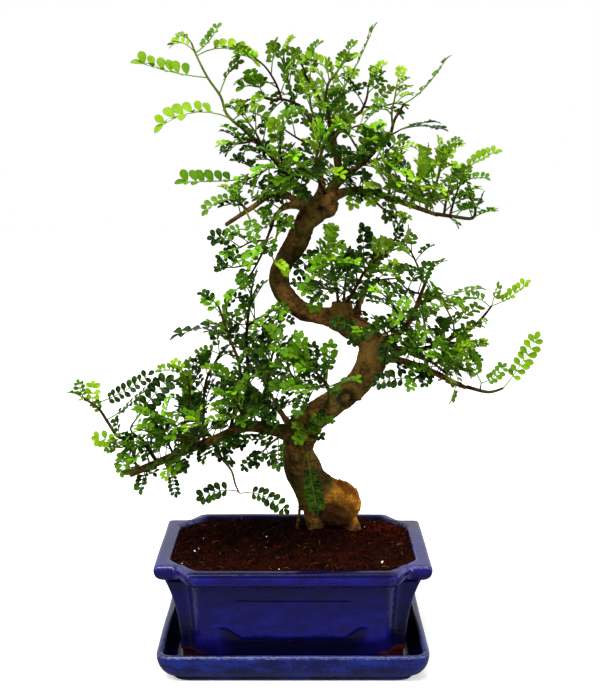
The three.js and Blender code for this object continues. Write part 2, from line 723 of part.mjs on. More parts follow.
spray('right_low_inner', LIME, [
  stem(1.1, 5, 28, [
    [446, 378, -8], [449, 368, -16], [452, 360, -20]
  ], []),
  stem(1.1, 6, 28, [
    [447, 374, -12], [434, 364, -22], [420, 356, -26], [408, 344, -28]
  ], []),
  stem(1.0, 5, 36, [
    [448, 372, -13], [452, 362, 8], [456, 354, 24]
  ], []),
]);
spray('pad_right_front', LIME, [
  stem(1.3, 6, 36, [
    [388, 197, -14], [390, 186, -26], [388, 172, -34]
  ], []),
]);
spray('pad_right_front_low', LIME, [
  stem(1.3, 6, 36, [
    [410, 205, -18], [416, 190, -34], [420, 176, -42]
  ], []),
]);
spray('pad_right_crown', LIME, [
  stem(1.3, 6, 28, [
    [426, 211, -20], [434, 192, -24], [440, 172, -26], [442, 158, -26]
  ], [
    [1, 462, 141, -28, 4, 5, RAISED]
  ]),
]);
spray('pad_right_tip', DARK, [
  stem(1.6, 4, 22, [
    [436, 214, -21], [455, 217, -22], [472, 218, -22], [475, 209, -22], [470, 197, -22]
  ], [
    [0.75, 485, 189, -26, -2, 5, LEVEL], [0.9, 482, 204, -34, 2, 4, LEVEL]
  ]),
  stem(1.1, 4, 26, [
    [450, 217, -22], [454, 200, -22], [460, 184, -22]
  ], [
    [1, 491, 180, -24, 3, 5, RAISED]
  ]),
  stem(1.1, 4, 28, [
    [444, 216, -21], [446, 198, 0], [450, 182, 12]
  ], [
    [1, 501, 150, 16, 3, 7, RAISED]
  ]),
]);
spray('pad_right_back', DARK, [
  stem(1.3, 5, 34, [
    [402, 203, -14], [412, 188, 12], [420, 172, 26]
  ], []),
]);
spray('pad_right_under', DARK, [
  stem(1.2, 3, 22, [
    [366, 190, -12], [376, 203, -20], [386, 211, -24], [392, 214, -26]
  ], []),
]);
spray('pad_right_upper', DARK, [
  stem(1.2, 4, 36, [
    [358, 167, -15], [376, 160, -26], [390, 156, -30]
  ], [
    [1, 424, 156, -34, 7, 6, RAISED]
  ]),
]);
spray('far_left', DARK, [
  stem(1.6, 4, 22, [
    [158, 462, -22], [147, 447, -22], [137, 436, -24], [120, 438, -24], [108, 423, -24],
    [99, 408, -24], [84, 398, -24]
  ], [
    [0.9, 154, 371, -26, -3, 8, OPEN], [0.7, 154, 379, -34, -3, 8, EDGEWAYS],
    [1, 77, 378, -28, -2, 4, OPEN], [0.9, 93, 379, -20, -2, 3, OPEN]
  ]),
  stem(1.0, 3, 18, [
    [128, 437, -24], [126, 445, -31], [119, 448, -34]
  ], [
    [1, 92, 440, -38, 3, 3, OPEN], [0.9, 104, 452, -38, 2, 3, OPEN], [0.5, 122, 478, -40, 1, 4, OPEN]
  ]),
  stem(1.0, 3, 26, [
    [139, 438, -24], [130, 430, -32], [136, 418, -36]
  ], [
    [1, 172, 377, -40, 2, 5, OPEN]
  ]),
]);
spray('far_left_low', DARK, [
  stem(1.3, 5, 22, [
    [140, 470, -22], [134, 460, -30], [136, 448, -34]
  ], []),
]);
spray('low_pad_rise_left', LIME, [
  stem(1.5, 6, 28, [
    [186, 451, -20], [184, 424, -20], [190, 396, -20], [187, 376, -20]
  ], [
    [1, 156, 372, -26, 3, 5, RAISED]
  ]),
]);
spray('low_pad_rise_mid', DARK, [
  stem(1.5, 6, 34, [
    [204, 444, -19], [204, 415, -10], [206, 380, -6], [220, 354, -4]
  ], [
    [0.85, 184, 366, -8, 2, 5, OPEN], [1, 194, 358, 2, 4, 4, RAISED]
  ]),
  stem(1.2, 6, 34, [
    [204, 430, -15], [197, 422, 8], [190, 412, 24]
  ], []),
]);
spray('low_pad_tall', DARK, [
  stem(1.8, 7, 32, [
    [242, 427, -13], [246, 405, -6], [249, 383, -4], [246, 335, -6], [251, 300, -8], [252, 288, -8]
  ], [
    [0.66, 169, 338, -20, 3, 6, LEVEL]
  ]),
  stem(1.0, 5, 28, [
    [248, 325, -7], [262, 316, -16], [276, 318, -20]
  ], []),
]);
spray('low_pad_tall_left', DARK, [
  stem(1.6, 6, 32, [
    [230, 430, -16], [240, 373, -26], [230, 340, -28], [218, 306, -28]
  ], [
    [0.9, 243, 298, -30, 5, 4, RAISED]
  ]),
]);
spray('low_pad_inner', DARK, [
  stem(1.5, 7, 36, [
    [262, 428, -12], [264, 400, -12], [268, 375, -14], [274, 348, -14]
  ], []),
]);
spray('low_pad_front_left', LIME, [
  stem(1.3, 5, 26, [
    [214, 440, -18], [206, 430, -34], [198, 422, -44]
  ], []),
  stem(1.1, 7, 28, [
    [210, 435, -27], [192, 438, -38], [176, 440, -42], [160, 436, -44]
  ], []),
]);
spray('low_pad_front', DARK, [
  stem(1.3, 7, 38, [
    [250, 428, -14], [242, 414, -36], [234, 398, -48]
  ], []),
]);
spray('low_pad_under', DARK, [
  stem(1.1, 1, 30, [
    [180, 453, -20], [172, 460, -30], [169, 466, -34]
  ], [
    [0.9, 176, 499, -40, 1, 6, OPEN]
  ]),
  stem(1.1, 6, 36, [
    [175, 457, -27], [168, 442, -36], [161, 425, -42]
  ], []),
]);
spray('low_drop', DARK, [
  stem(1.2, 0, 34, [
    [214, 441, -18], [222, 458, -24], [231, 470, -26], [235, 484, -28], [239, 493, -30]
  ], [
    [0.95, 195, 501, -30, 4, 5, OPEN], [1, 291, 515, -32, 6, 7, OPEN]
  ]),
]);
spray('low_back', DARK, [
  stem(1.5, 5, 40, [
    [278, 408, 46], [268, 390, 60], [258, 370, 66], [252, 350, 70]
  ], []),
  stem(1.2, 4, 40, [
    [276, 404, 49], [254, 398, 60], [232, 392, 66]
  ], []),
]);
spray('low_front', DARK, [
  stem(1.3, 6, 36, [
    [329, 399, -27], [327, 385, -42], [316, 372, -48], [304, 362, -50]
  ], []),
  stem(1.2, 6, 36, [
    [327, 385, -42], [306, 388, -40], [290, 372, -38], [286, 350, -36]
  ], []),
]);
spray('trunk_front_leaf', DARK, [
  stem(1.1, 0, 28, [
    [304, 440, -4], [305, 447, -18], [307, 452, -22]
  ], [
    [1, 318, 513, -30, -2, 7, OPEN]
  ]),
]);
spray('trunk_front_lime', LIME, [
  stem(1.0, 6, 18, [
    [306, 434, -5], [310, 430, -19], [321, 421, -21]
  ], [
    [0.4, 295, 446, -24, 2, 3, OPEN]
  ]),
]);
spray('trunk_left_low', DARK, [
  stem(1.1, 3, 32, [
    [284, 434, -8], [272, 442, -20], [264, 450, -24]
  ], [
    [1, 241, 471, -28, 1, 5, OPEN], [0.9, 273, 468, -34, 1, 4, OPEN]
  ]),
]);
const UP = new THREE.Vector3(0, 0, 1);
const GOLDEN_ANGLE = 2.4;
const TREE_AXIS = [12, 0];

function pointOnLine(line, t) {
  const k = Math.min(Math.floor(t * (line.length - 1)), line.length - 2);
  const blend = t * (line.length - 1) - k;
  const from = new THREE.Vector3(...line[k]);
  const to = new THREE.Vector3(...line[k + 1]);
  return { at: from.clone().lerp(to, blend), along: to.sub(from).normalize() };
}

// Outward from the tree, which is where leaves lean and face. Sideways counts half
function outward(point) {
  const away = new THREE.Vector3((point.x - TREE_AXIS[0]) * 0.5, point.y - TREE_AXIS[1], 0);
  return away.length() > 1 ? away.normalize() : new THREE.Vector3(0, -1, 0);
}

// The rule: leaves alternate round the stem, spread less towards its tip and lean outward.
// Those towards the tip are young and shorter. Upper sides face up and a little outward
function ruleLeaves(growth, draw) {
  const leaves = [];
  for (let k = 0; k < growth.leafCount; k += 1) {
    const [turn, spread, stretch, bow, face] = [draw(), draw(), draw(), draw(), draw()];
    const t = growth.leafCount === 1 ? 1 : 0.25 + (0.75 * k) / (growth.leafCount - 1);
    const { at, along } = pointOnLine(growth.line, t);
    const across = new THREE.Vector3().crossVectors(along, new THREE.Vector3(0.3, 1, 0.2)).normalize();
    across.applyAxisAngle(along, k * GOLDEN_ANGLE + turn * 0.9);
    const angle = 1.15 - 0.6 * t + (spread - 0.5) * 0.4;
    const aim = along.clone().multiplyScalar(Math.cos(angle))
      .addScaledVector(across, Math.sin(angle))
      .addScaledVector(outward(at), 0.25)
      .normalize();
    const length = growth.leafLength * (0.7 + 0.3 * stretch) * (1.2 - 0.5 * t);
    leaves.push({
      base: at,
      tip: at.clone().addScaledVector(aim, length),
      arch: length * (0.04 + 0.12 * bow),
      pairs: 1 + Number(length > SHORT_LEAF),
      facing: outward(at).multiplyScalar(0.35 + 0.5 * face).add(UP),
      fold: RULE_FOLD,
    });
  }
  return leaves;
}

function placedLeaves(growth) {
  return growth.placed.map(([t, x, y, z, arch, pairs, held]) => {
    const base = pointOnLine(growth.line, t).at;
    return {
      base,
      tip: new THREE.Vector3(x, y, z),
      arch,
      pairs: 1 + Number(pairs > SHORT_LEAF_PAIRS),
      facing: new THREE.Vector3(...held.facing),
      fold: held.fold,
    };
  });
}

// One leaf: a thin arched blade whose outline is cut to the rib between its leaflets.
// Both faces have the same triangles. Start leaves the root out
function leafSolid(leaf, thickness, start) {
  const span = leaf.tip.clone().sub(leaf.base);
  const length = span.length();
  const middle = leaf.base.clone().addScaledVector(span, 0.5).addScaledVector(UP, 2 * leaf.arch);
  const rib = new THREE.QuadraticBezierCurve3(leaf.base, middle, leaf.tip);
  const points = [];
  const push = (u, side, out, forward) => {
    const along = rib.getTangent(u);
    const normal = leaf.facing.clone().addScaledVector(along, -leaf.facing.dot(along)).normalize();
    const across = new THREE.Vector3().crossVectors(along, normal).multiplyScalar(side);
    const lift = Math.max(0, out - 1) * Math.sin(leaf.fold);
    const at = rib.getPoint(u)
      .addScaledVector(across, out * Math.cos(leaf.fold))
      .addScaledVector(normal, lift)
      .addScaledVector(along, forward);
    const halfThick = normal.clone().multiplyScalar(thickness / 2);
    points.push({ top: at.clone().add(halfThick), low: at.sub(halfThick) });
    return points.length - 1;
  };
  const ribHalf = 0.55;
  const first = 0.3;
  const lastPair = 0.8;
  const pitch = (lastPair - first) / leaf.pairs;
  const width = Math.min(LEAFLET_HALF_WIDTH, pitch * length * 0.46);
  const out = LEAFLET_LENGTH * Math.min(1, length / 40);
  const faces = [];
  const quad = (a, b, c, d) => faces.push([a, b, c], [a, c, d]);
  const edges = { left: [], right: [] };
  let left = push(start, -1, ribHalf, 0);
  let right = push(start, 1, ribHalf, 0);
  edges.left.push(left);
  edges.right.push(right);
  const station = (u) => {
    const nextLeft = push(u, -1, ribHalf, 0);
    const nextRight = push(u, 1, ribHalf, 0);
    quad(left, right, nextRight, nextLeft);
    [left, right] = [nextLeft, nextRight];
    edges.left.push(left);
    edges.right.push(right);
    return [left, right];
  };
  for (let i = 0; i < leaf.pairs; i += 1) {
    const u = first + pitch * (i + 0.5);
    const rootHalf = (0.9 / length);
    const [leftStart, rightStart] = station(u - rootHalf);
    const leftOuter = [push(u, -1, out * 0.72, -width), push(u, -1, out, width * 0.8)];
    const rightOuter = [push(u, 1, out * 0.72, -width), push(u, 1, out, width * 0.8)];
    edges.left.push(...leftOuter);
    edges.right.push(...rightOuter);
    const [leftEnd, rightEnd] = station(u + rootHalf);
    quad(leftStart, leftEnd, leftOuter[1], leftOuter[0]);
    quad(rightStart, rightOuter[0], rightOuter[1], rightEnd);
  }
  const bladeBack = [push(0.93, -1, width * 0.95, 0), push(0.93, 1, width * 0.95, 0)];
  const bladeTip = push(1, 1, 0, 0);
  quad(left, right, bladeBack[1], bladeBack[0]);
  faces.push([bladeBack[0], bladeBack[1], bladeTip]);
  const boundary = [...edges.right, bladeBack[1], bladeTip, bladeBack[0], ...edges.left.reverse()];
  const count = points.length;
  const skin = [];
  for (const [a, b, c] of faces) {
    skin.push([a, b, c]);
    skin.push([a + count, c + count, b + count]);
  }
  boundary.forEach((here, i) => {
    const next = boundary[(i + 1) % boundary.length];
    skin.push([here, here + count, next + count]);
    skin.push([here, next + count, next]);
  });
  const all = [...points.map((p) => p.top), ...points.map((p) => p.low)];
  return solidFromFaces(all, skin);
}

// A leaf that would cross its neighbours is turned about its root until it is clear
const TURNS = [0, 0.2, -0.2, 0.4, -0.4, 0.65, -0.65];
const TILTS = [0, 0.2, -0.2, 0.4, -0.4];

function turnedLeaf(leaf, turn, tilt) {
  const aim = leaf.tip.clone().sub(leaf.base);
  const level = new THREE.Vector3().crossVectors(aim, UP).normalize();
  const tip = aim.applyAxisAngle(level, tilt).applyAxisAngle(UP, turn).add(leaf.base);
  return { ...leaf, tip };
}

function boundsOf(solid) {
  const { min, max } = solid.boundingBox();
  return new THREE.Box3(new THREE.Vector3(...min), new THREE.Vector3(...max));
}

function crosses(solid, others) {
  const bounds = boundsOf(solid);
  const near = others.filter((other) => other.bounds.intersectsBox(bounds));
  return near.some((other) => !solid.intersect(other.solid).isEmpty());
}

const TEST_THICKNESS = 1.7;
const TEST_START = 0.14;

function clearLeaf(leaf, others, strangers) {
  for (const tilt of TILTS) {
    for (const turn of TURNS) {
      const tried = turnedLeaf(leaf, turn, tilt);
      const blade = leafSolid(tried, TEST_THICKNESS, TEST_START);
      if (!crosses(blade, others) && !crosses(leafSolid(tried, BLADE_THICKNESS, 0), strangers)) {
        return tried;
      }
    }
  }
  return null;
}

// The tree: the wood first, then every twig, then the leaves, outermost tips first
const nets = [-1, 1].map((side) => buildNet(side));
const netRoom = [-1, 1].map((side) => {
  const half = NET_HALF + CLEARANCE;
  const x = side * DRAIN_HOLE_X;
  return box([x - half, -half, INSIDE_FLOOR - 1], [x + half, half, INSIDE_FLOOR + NET_THICKNESS + CLEARANCE]);
});
const woodRoom = buildWood(CLEARANCE);

function largestBody(solid) {
  return solid.decompose().reduce((best, body) => (body.volume() > best.volume() ? body : best));
}

function twigSolid(growth) {
  const last = growth.line.length - 1;
  const line = growth.line.map((p, i) => [...p, growth.radius * (1 - 0.45 * (i / last))]);
  return stemSolid(line, 3, 1);
}

const occupied = [{ solid: woodRoom, bounds: boundsOf(woodRoom), owner: 'wood' }];
for (const plant of SPRAYS) {
  const twigs = plant.stems.map(twigSolid).reduce((sum, twig) => sum.add(twig));
  plant.solid = largestBody(twigs.subtract(woodRoom));
  occupied.push({ solid: plant.solid, bounds: boundsOf(plant.solid), owner: plant.name });
}

function growLeaf(plant, leaf) {
  const strangers = occupied.filter((other) => other.owner !== plant.name);
  const others = occupied.filter((other) => other.owner !== plant.name || other.isLeaf);
  const clear = clearLeaf(leaf, others, strangers);
  if (clear === null) {
    return;
  }
  const solid = leafSolid(clear, BLADE_THICKNESS, 0);
  const joined = plant.solid.add(solid);
  if (joined.decompose().length > 1) {
    return;
  }
  plant.solid = joined;
  occupied.push({ solid, bounds: boundsOf(solid), owner: plant.name, isLeaf: true });
}

for (const plant of SPRAYS) {
  for (const growth of plant.stems) {
    placedLeaves(growth).forEach((leaf) => growLeaf(plant, leaf));
  }
}
SPRAYS.forEach((plant, number) => {
  plant.stems.forEach((growth, branch) => {
    const leaves = ruleLeaves(growth, seededDraws(100 * number + branch + 1));
    const kept = growth.placed.length < 1 ? 1 : 0;
    leaves.slice(leaves.length - kept).forEach((leaf) => growLeaf(plant, leaf));
  });
});

addPiece('saucer', buildSaucer(), 0x24338c, 0.25);
addPiece('pot', buildPot(), 0x1f1c68, 0.2);
addPiece('drain_net_left', nets[0], 0x2a2a2a, 0.6);
addPiece('drain_net_right', nets[1], 0x2a2a2a, 0.6);
addPiece('soil', buildSoil(buildRoots(CLEARANCE), netRoom), 0x2a120a, 0.95);
addPiece('trunk', buildWood(0), 0x6b4a26, 0.85);
for (const plant of SPRAYS) {
  addPiece(`spray_${plant.name}`, plant.solid, plant.color, 0.5);
}

export default group;
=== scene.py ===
import math

import bpy
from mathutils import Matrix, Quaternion, Vector, noise


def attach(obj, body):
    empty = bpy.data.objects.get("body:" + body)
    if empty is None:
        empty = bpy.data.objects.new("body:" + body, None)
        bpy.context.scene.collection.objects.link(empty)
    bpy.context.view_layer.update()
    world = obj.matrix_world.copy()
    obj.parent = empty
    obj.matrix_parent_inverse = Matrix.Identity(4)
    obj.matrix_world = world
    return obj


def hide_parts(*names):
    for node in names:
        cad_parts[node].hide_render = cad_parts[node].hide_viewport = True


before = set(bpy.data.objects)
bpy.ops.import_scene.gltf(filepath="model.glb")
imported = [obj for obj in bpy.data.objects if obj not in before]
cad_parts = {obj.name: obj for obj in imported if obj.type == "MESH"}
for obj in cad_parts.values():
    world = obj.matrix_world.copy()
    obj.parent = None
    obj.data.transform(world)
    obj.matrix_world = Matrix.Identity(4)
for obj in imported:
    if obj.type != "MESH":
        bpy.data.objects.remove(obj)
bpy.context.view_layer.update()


# Studio.
# A plain white table in a plain white room, lit by a large soft window of light above and in front.
# The camera stands where the photographer stood: about a metre away and a little above the pot.
def add_node(tree, kind, inputs=None, **settings):
    """A new node. Each input is a constant or the output socket that feeds it."""
    made = tree.nodes.new(kind)
    for name, value in settings.items():
        setattr(made, name, value)
    for socket, value in (inputs or {}).items():
        if isinstance(value, bpy.types.NodeSocket):
            tree.links.new(value, made.inputs[socket])
        else:
            made.inputs[socket].default_value = value
    return made


def new_material(name, **constants):
    """A material whose constants are set on the shader's own sockets."""
    material = bpy.data.materials.new(name)
    material.use_nodes = True
    tree = material.node_tree
    shader = tree.nodes["Principled BSDF"]
    for socket, value in constants.items():
        shader.inputs[socket.replace("_", " ")].default_value = value
    return material, tree, shader


def make_piece(name, points, faces, materials, smooth=True):
    """A mesh object from points in millimetres."""
    mesh = bpy.data.meshes.new(name)
    mesh.from_pydata([(p[0] / 1000, p[1] / 1000, p[2] / 1000) for p in points], [], faces)
    for material in materials:
        mesh.materials.append(material)
    mesh.polygons.foreach_set("use_smooth", [smooth] * len(mesh.polygons))
    mesh.update()
    piece = bpy.data.objects.new(name, mesh)
    bpy.context.scene.collection.objects.link(piece)
    return piece


TABLE_HALF = 4000
white_paint, paint_tree, paint_shader = new_material("white_paint", Roughness=0.9, Specular_IOR_Level=0.1)
paint_shader.inputs["Emission Color"].default_value = (1, 1, 1, 1)
paint_seen = add_node(paint_tree, "ShaderNodeLightPath").outputs["Is Camera Ray"]
paint_grain = add_node(paint_tree, "ShaderNodeTexNoise", {"Scale": 3.0, "Detail": 4.0})
paint_tone = add_node(paint_tree, "ShaderNodeMix", {
    0: paint_grain.outputs[0],
    6: (0.93, 0.93, 0.93, 1),
    7: (0.96, 0.96, 0.96, 1),
}, data_type="RGBA")
paint_lit = add_node(paint_tree, "ShaderNodeMix", {
    0: paint_seen,
    6: (0.22, 0.22, 0.22, 1),
    7: paint_tone.outputs[2],
}, data_type="RGBA")
paint_glow = add_node(paint_tree, "ShaderNodeMath", {0: paint_seen, 1: 0.3}, operation="MULTIPLY")
paint_tree.links.new(paint_lit.outputs[2], paint_shader.inputs["Base Color"])
paint_tree.links.new(paint_glow.outputs[0], paint_shader.inputs["Emission Strength"])
corners = [(x * TABLE_HALF, y * TABLE_HALF, 0) for x, y in ((-1, -1), (1, -1), (1, 1), (-1, 1))]
table_top = make_piece("table_top", corners, [(0, 1, 2, 3)], [white_paint], smooth=False)

room = bpy.data.worlds.new("white_room")
room.use_nodes = True
room_tree = room.node_tree
seen = add_node(room_tree, "ShaderNodeLightPath")
room_glow = room_tree.nodes["Background"]
room_glow.inputs["Color"].default_value = (1, 1, 1, 1)
mirrored = add_node(room_tree, "ShaderNodeMapRange", {
    "Value": seen.outputs["Is Glossy Ray"],
    "To Min": 0.22,
    "To Max": 0.9,
})
brightness = add_node(room_tree, "ShaderNodeMapRange", {
    "Value": seen.outputs["Is Camera Ray"],
    "To Min": mirrored.outputs["Result"],
    "To Max": 1.0,
})
room_tree.links.new(brightness.outputs["Result"], room_glow.inputs["Strength"])
bpy.context.scene.world = room
bpy.context.scene.view_settings.view_transform = "Standard"

SOFT_LIGHTS = {
    "window": {"at": (-1.1, -0.9, 1.1), "width": 0.6, "height": 0.6, "power": 14},
    "side_screen": {"at": (1.5, -0.7, 0.9), "width": 0.6, "height": 0.6, "power": 12},
    "overhead": {"at": (0.2, -0.2, 1.7), "width": 0.8, "height": 0.8, "power": 16},
    "left_strip": {"at": (-1.0, -0.7, 0.35), "width": 0.08, "height": 0.6, "power": 4},
    "right_strip": {"at": (1.0, -0.7, 0.35), "width": 0.08, "height": 0.6, "power": 6},
}
TREE_MIDDLE = Vector((0.0, 0.0, 0.22))
for name, lamp in SOFT_LIGHTS.items():
    panel = bpy.data.lights.new(name, "AREA")
    panel.shape = "RECTANGLE"
    panel.size = lamp["width"]
    panel.size_y = lamp["height"]
    panel.energy = lamp["power"]
    panel.color = (1, 0.98, 0.95)
    holder = bpy.data.objects.new(name, panel)
    holder.location = lamp["at"]
    holder.rotation_euler = (TREE_MIDDLE - holder.location).to_track_quat("-Z", "Y").to_euler()
    bpy.context.scene.collection.objects.link(holder)
DAYLIGHT_FROM = Vector((-0.35, -0.75, 1.4))
daylight = bpy.data.lights.new("daylight", "SUN")
daylight.energy = 3.4
daylight.angle = math.radians(24)
daylight_holder = bpy.data.objects.new("daylight", daylight)
daylight_holder.location = DAYLIGHT_FROM
daylight_holder.rotation_euler = DAYLIGHT_FROM.to_track_quat("Z", "Y").to_euler()
bpy.context.scene.collection.objects.link(daylight_holder)

FOCAL_PIXELS = 1342
IMAGE_HEIGHT = 700
IMAGE_MIDDLE = (300, 350)
CAMERA_AT = (0.005, -0.975, 0.394)
LOOK_DOWN = 9.57
lens = bpy.data.cameras.new("camera")
lens.sensor_width = 36
lens.lens = FOCAL_PIXELS * lens.sensor_width / IMAGE_HEIGHT
camera = bpy.data.objects.new("camera", lens)
camera.location = CAMERA_AT
camera.rotation_euler = (math.radians(90 - LOOK_DOWN), 0, 0)
bpy.context.scene.collection.objects.link(camera)
bpy.context.scene.camera = camera


# Saucer.
# A press-moulded stoneware tray with a stepped foot, a rounded wall and a soft rim, dipped in cobalt
# glaze that runs thin on the rim. It stands on the table and carries the pot's four feet.
def rounded_loop(corners, z, fill=None):
    """A closed loop at height z. Each corner is (x, y, cut, steps), and fill adds points after some."""
    ring = []
    for i, (x, y, cut, steps) in enumerate(corners):
        at = Vector((x, y, z))
        before = Vector((*corners[i - 1][:2], z))
        after = Vector((*corners[(i + 1) % len(corners)][:2], z))
        start = at + (before - at).normalized() * cut
        end = at + (after - at).normalized() * cut
        for step in range(steps + 1):
            t = step / steps
            ring.append(start.lerp(at, t).lerp(at.lerp(end, t), t))
        count = (fill or {}).get(i, 0)
        next_cut = corners[(i + 1) % len(corners)][2]
        goal = after + (at - after).normalized() * next_cut
        ring.extend(end.lerp(goal, k / (count + 1)) for k in range(1, count + 1))
    return ring


def loft(rings):
    """Points and faces of a skin through equal rings, closed flat at both ends."""
    count = len(rings[0])
    points = [p for ring in rings for p in ring]
    faces = []
    for level in range(len(rings) - 1):
        for i in range(count):
            here = level * count + i
            beside = level * count + (i + 1) % count
            faces.append((here, beside, beside + count, here + count))
    last = (len(rings) - 1) * count
    faces.append(tuple(range(count))[::-1])
    faces.append(tuple(range(last, last + count)))
    return points, faces


CLAY_SEED = 1


def uneven(points, size, amount):
    """Moves points a little, as hand work in clay does, and the same way in each run."""
    noise.seed_set(CLAY_SEED)
    moved = []
    for p in points:
        shift = noise.noise_vector(Vector(p) / size) * amount
        moved.append(Vector((p[0] + shift.x, p[1] + shift.y, p[2] + shift.z * 0.5)))
    return moved


def begin_group(name, sockets_in, sockets_out):
    """A shader node group with its named inputs and outputs."""
    group = bpy.data.node_groups.new(name, "ShaderNodeTree")
    for socket, kind in sockets_in.items():
        group.interface.new_socket(socket, in_out="INPUT", socket_type=kind)
    for socket, kind in sockets_out.items():
        group.interface.new_socket(socket, in_out="OUTPUT", socket_type=kind)
    return group, group.nodes.new("NodeGroupInput").outputs, group.nodes.new("NodeGroupOutput").inputs


def mix_colors(tree, factor, first, second, blend="MIX"):
    return add_node(tree, "ShaderNodeMix", {0: factor, 6: first, 7: second},
                    data_type="RGBA", blend_type=blend).outputs[2]


def band(tree, value, low, high, start=0.0, end=1.0):
    """A clamped, smooth step from start at low to end at high."""
    return add_node(tree, "ShaderNodeMapRange", {
        "Value": value,
        "From Min": low,
        "From Max": high,
        "To Min": start,
        "To Max": end,
    }, interpolation_type="SMOOTHSTEP").outputs["Result"]


def math_node(tree, operation, first, second=0.0):
    return add_node(tree, "ShaderNodeMath", {0: first, 1: second}, operation=operation).outputs[0]


def times(tree, first, second):
    return math_node(tree, "MULTIPLY", first, second)


def most(tree, mask, *others):
    """The largest of several masks."""
    for other in others:
        mask = math_node(tree, "MAXIMUM", mask, other)
    return mask


def strip(tree, value, start, full, fade, end):
    """A mask that is 1 from full to fade and falls to 0 at start and at end."""
    return times(tree, band(tree, value, start, full), band(tree, value, end, fade))


def object_place(tree):
    return add_node(tree, "ShaderNodeTexCoord").outputs["Object"]


def noise_mask(tree, place, scale, detail=2.0):
    settings = {"Vector": place, "Scale": scale, "Detail": detail}
    return add_node(tree, "ShaderNodeTexNoise", settings).outputs[0]


def scaled_place(tree, place, scale):
    return add_node(tree, "ShaderNodeMapping", {"Vector": place, "Scale": scale}).outputs[0]


def add_relief(tree, shader, height, strength, distance=0.001):
    """Raises the surface by a height mask, on top of any relief that it has already."""
    relief = add_node(tree, "ShaderNodeBump", {"Strength": strength, "Distance": distance, "Height": height})
    for link in shader.inputs["Normal"].links:
        tree.links.new(link.from_socket, relief.inputs["Normal"])
    tree.links.new(relief.outputs["Normal"], shader.inputs["Normal"])


COLOR = "NodeSocketColor"
NUMBER = "NodeSocketFloat"
glaze, glaze_in, glaze_out = begin_group(
    "cobalt_glaze",
    {"Thick": COLOR, "Thin": COLOR, "Bare Edge And Glint": COLOR, "Edge": NUMBER, "Pooled And Shade": NUMBER},
    {"Color": COLOR, "Roughness": NUMBER, "Height": NUMBER},
)
glaze_place = object_place(glaze)
clouds = noise_mask(glaze, scaled_place(glaze, glaze_place, (0.35, 0.35, 1.0)), 150.0, 5.0)
mottle = noise_mask(glaze, glaze_place, 420.0, 3.0)
specks = add_node(glaze, "ShaderNodeTexVoronoi", {"Vector": glaze_place, "Scale": 150.0}).outputs["Distance"]
iron_spots = times(glaze, band(glaze, specks, 0.05, 0.09, 1.0, 0.0), band(glaze, clouds, 0.54, 0.6))
blotches = math_node(glaze, "ADD", times(glaze, clouds, 0.7), times(glaze, mottle, 0.3))
body_color = mix_colors(glaze, band(glaze, blotches, 0.4, 0.62), glaze_in["Thick"], glaze_in["Thin"])
ragged = times(glaze, glaze_in["Edge"], band(glaze, mottle, 0.3, 0.62))
edge_color = mix_colors(glaze, ragged, body_color, glaze_in["Bare Edge And Glint"])
# The pooled input darkens the glaze nearly to black: for pooled glaze, and as painted shade
pooled_and_shaded_color = mix_colors(glaze, glaze_in["Pooled And Shade"], edge_color, (0.0012, 0.001, 0.006, 1))
glaze.links.new(mix_colors(glaze, iron_spots, pooled_and_shaded_color, (0.006, 0.006, 0.02, 1)), glaze_out["Color"])
glaze.links.new(band(glaze, blotches, 0.3, 0.7, 0.1, 0.2), glaze_out["Roughness"])
glaze.links.new(math_node(glaze, "ADD", times(glaze, clouds, 1.6), mottle), glaze_out["Height"])


def dress_glaze(tree, shader, edge, pooled_and_shade, thick, thin, bare_edge_and_glint):
    """Feeds a shader from the glaze group, with a soft pooled relief; the pooled mask also paints shade."""
    coat = add_node(tree, "ShaderNodeGroup", {
        "Thick": thick,
        "Thin": thin,
        "Bare Edge And Glint": bare_edge_and_glint,
        "Edge": edge,
        "Pooled And Shade": pooled_and_shade,
    }, node_tree=glaze)
    add_relief(tree, shader, coat.outputs["Height"], 0.16)
    return coat


SAUCER_HALF = (97.8, 74.3)
SAUCER_FOOT_HALF = (84, 63.5)
SAUCER_FLOOR = 6
SAUCER_CORNER = 13
# Each level of the outer wall is (share of the way from foot to rim, height)
SAUCER_WALL = [
    (0.0, 0.0), (0.05, 0.0), (0.17, 0.5), (0.2, 1.6), (0.2, 3.0), (0.24, 3.7), (0.38, 4.0), (0.52, 4.9),
    (0.66, 6.6), (0.78, 8.8), (0.88, 11.4), (0.95, 14.2), (0.99, 17.0), (1.0, 19.0), (0.995, 20.4),
]
# Each level of the inner side is (inset from the rim, height)
SAUCER_INSIDE = [
    (0.9, 21.3), (1.8, 21.7), (2.8, 21.65), (3.8, 21.2), (4.7, 20.3), (5.4, 18.0), (6.3, 15.0),
    (7.4, 12.0), (8.6, 9.2), (10.4, 7.2), (12.6, 6.2), (16.0, 6.0),
]


def saucer_ring(half, corner, z):
    corners = [(sx * half[0], sy * half[1], corner, 10) for sx, sy in ((1, 1), (-1, 1), (-1, -1), (1, -1))]
    return rounded_loop(corners, z, {0: 18, 1: 12, 2: 18, 3: 12})


saucer_rings = []
for share, z in SAUCER_WALL:
    half = [foot + (rim - foot) * share for foot, rim in zip(SAUCER_FOOT_HALF, SAUCER_HALF)]
    saucer_rings.append(saucer_ring(half, SAUCER_CORNER, z))
for inset, z in SAUCER_INSIDE:
    saucer_rings.append(saucer_ring([h - inset for h in SAUCER_HALF], SAUCER_CORNER * 0.8, z))
saucer_points, saucer_faces = loft(saucer_rings)
saucer_points = [q if p.z > 1 else p for p, q in zip(saucer_points, uneven(saucer_points, 45, 0.5))]

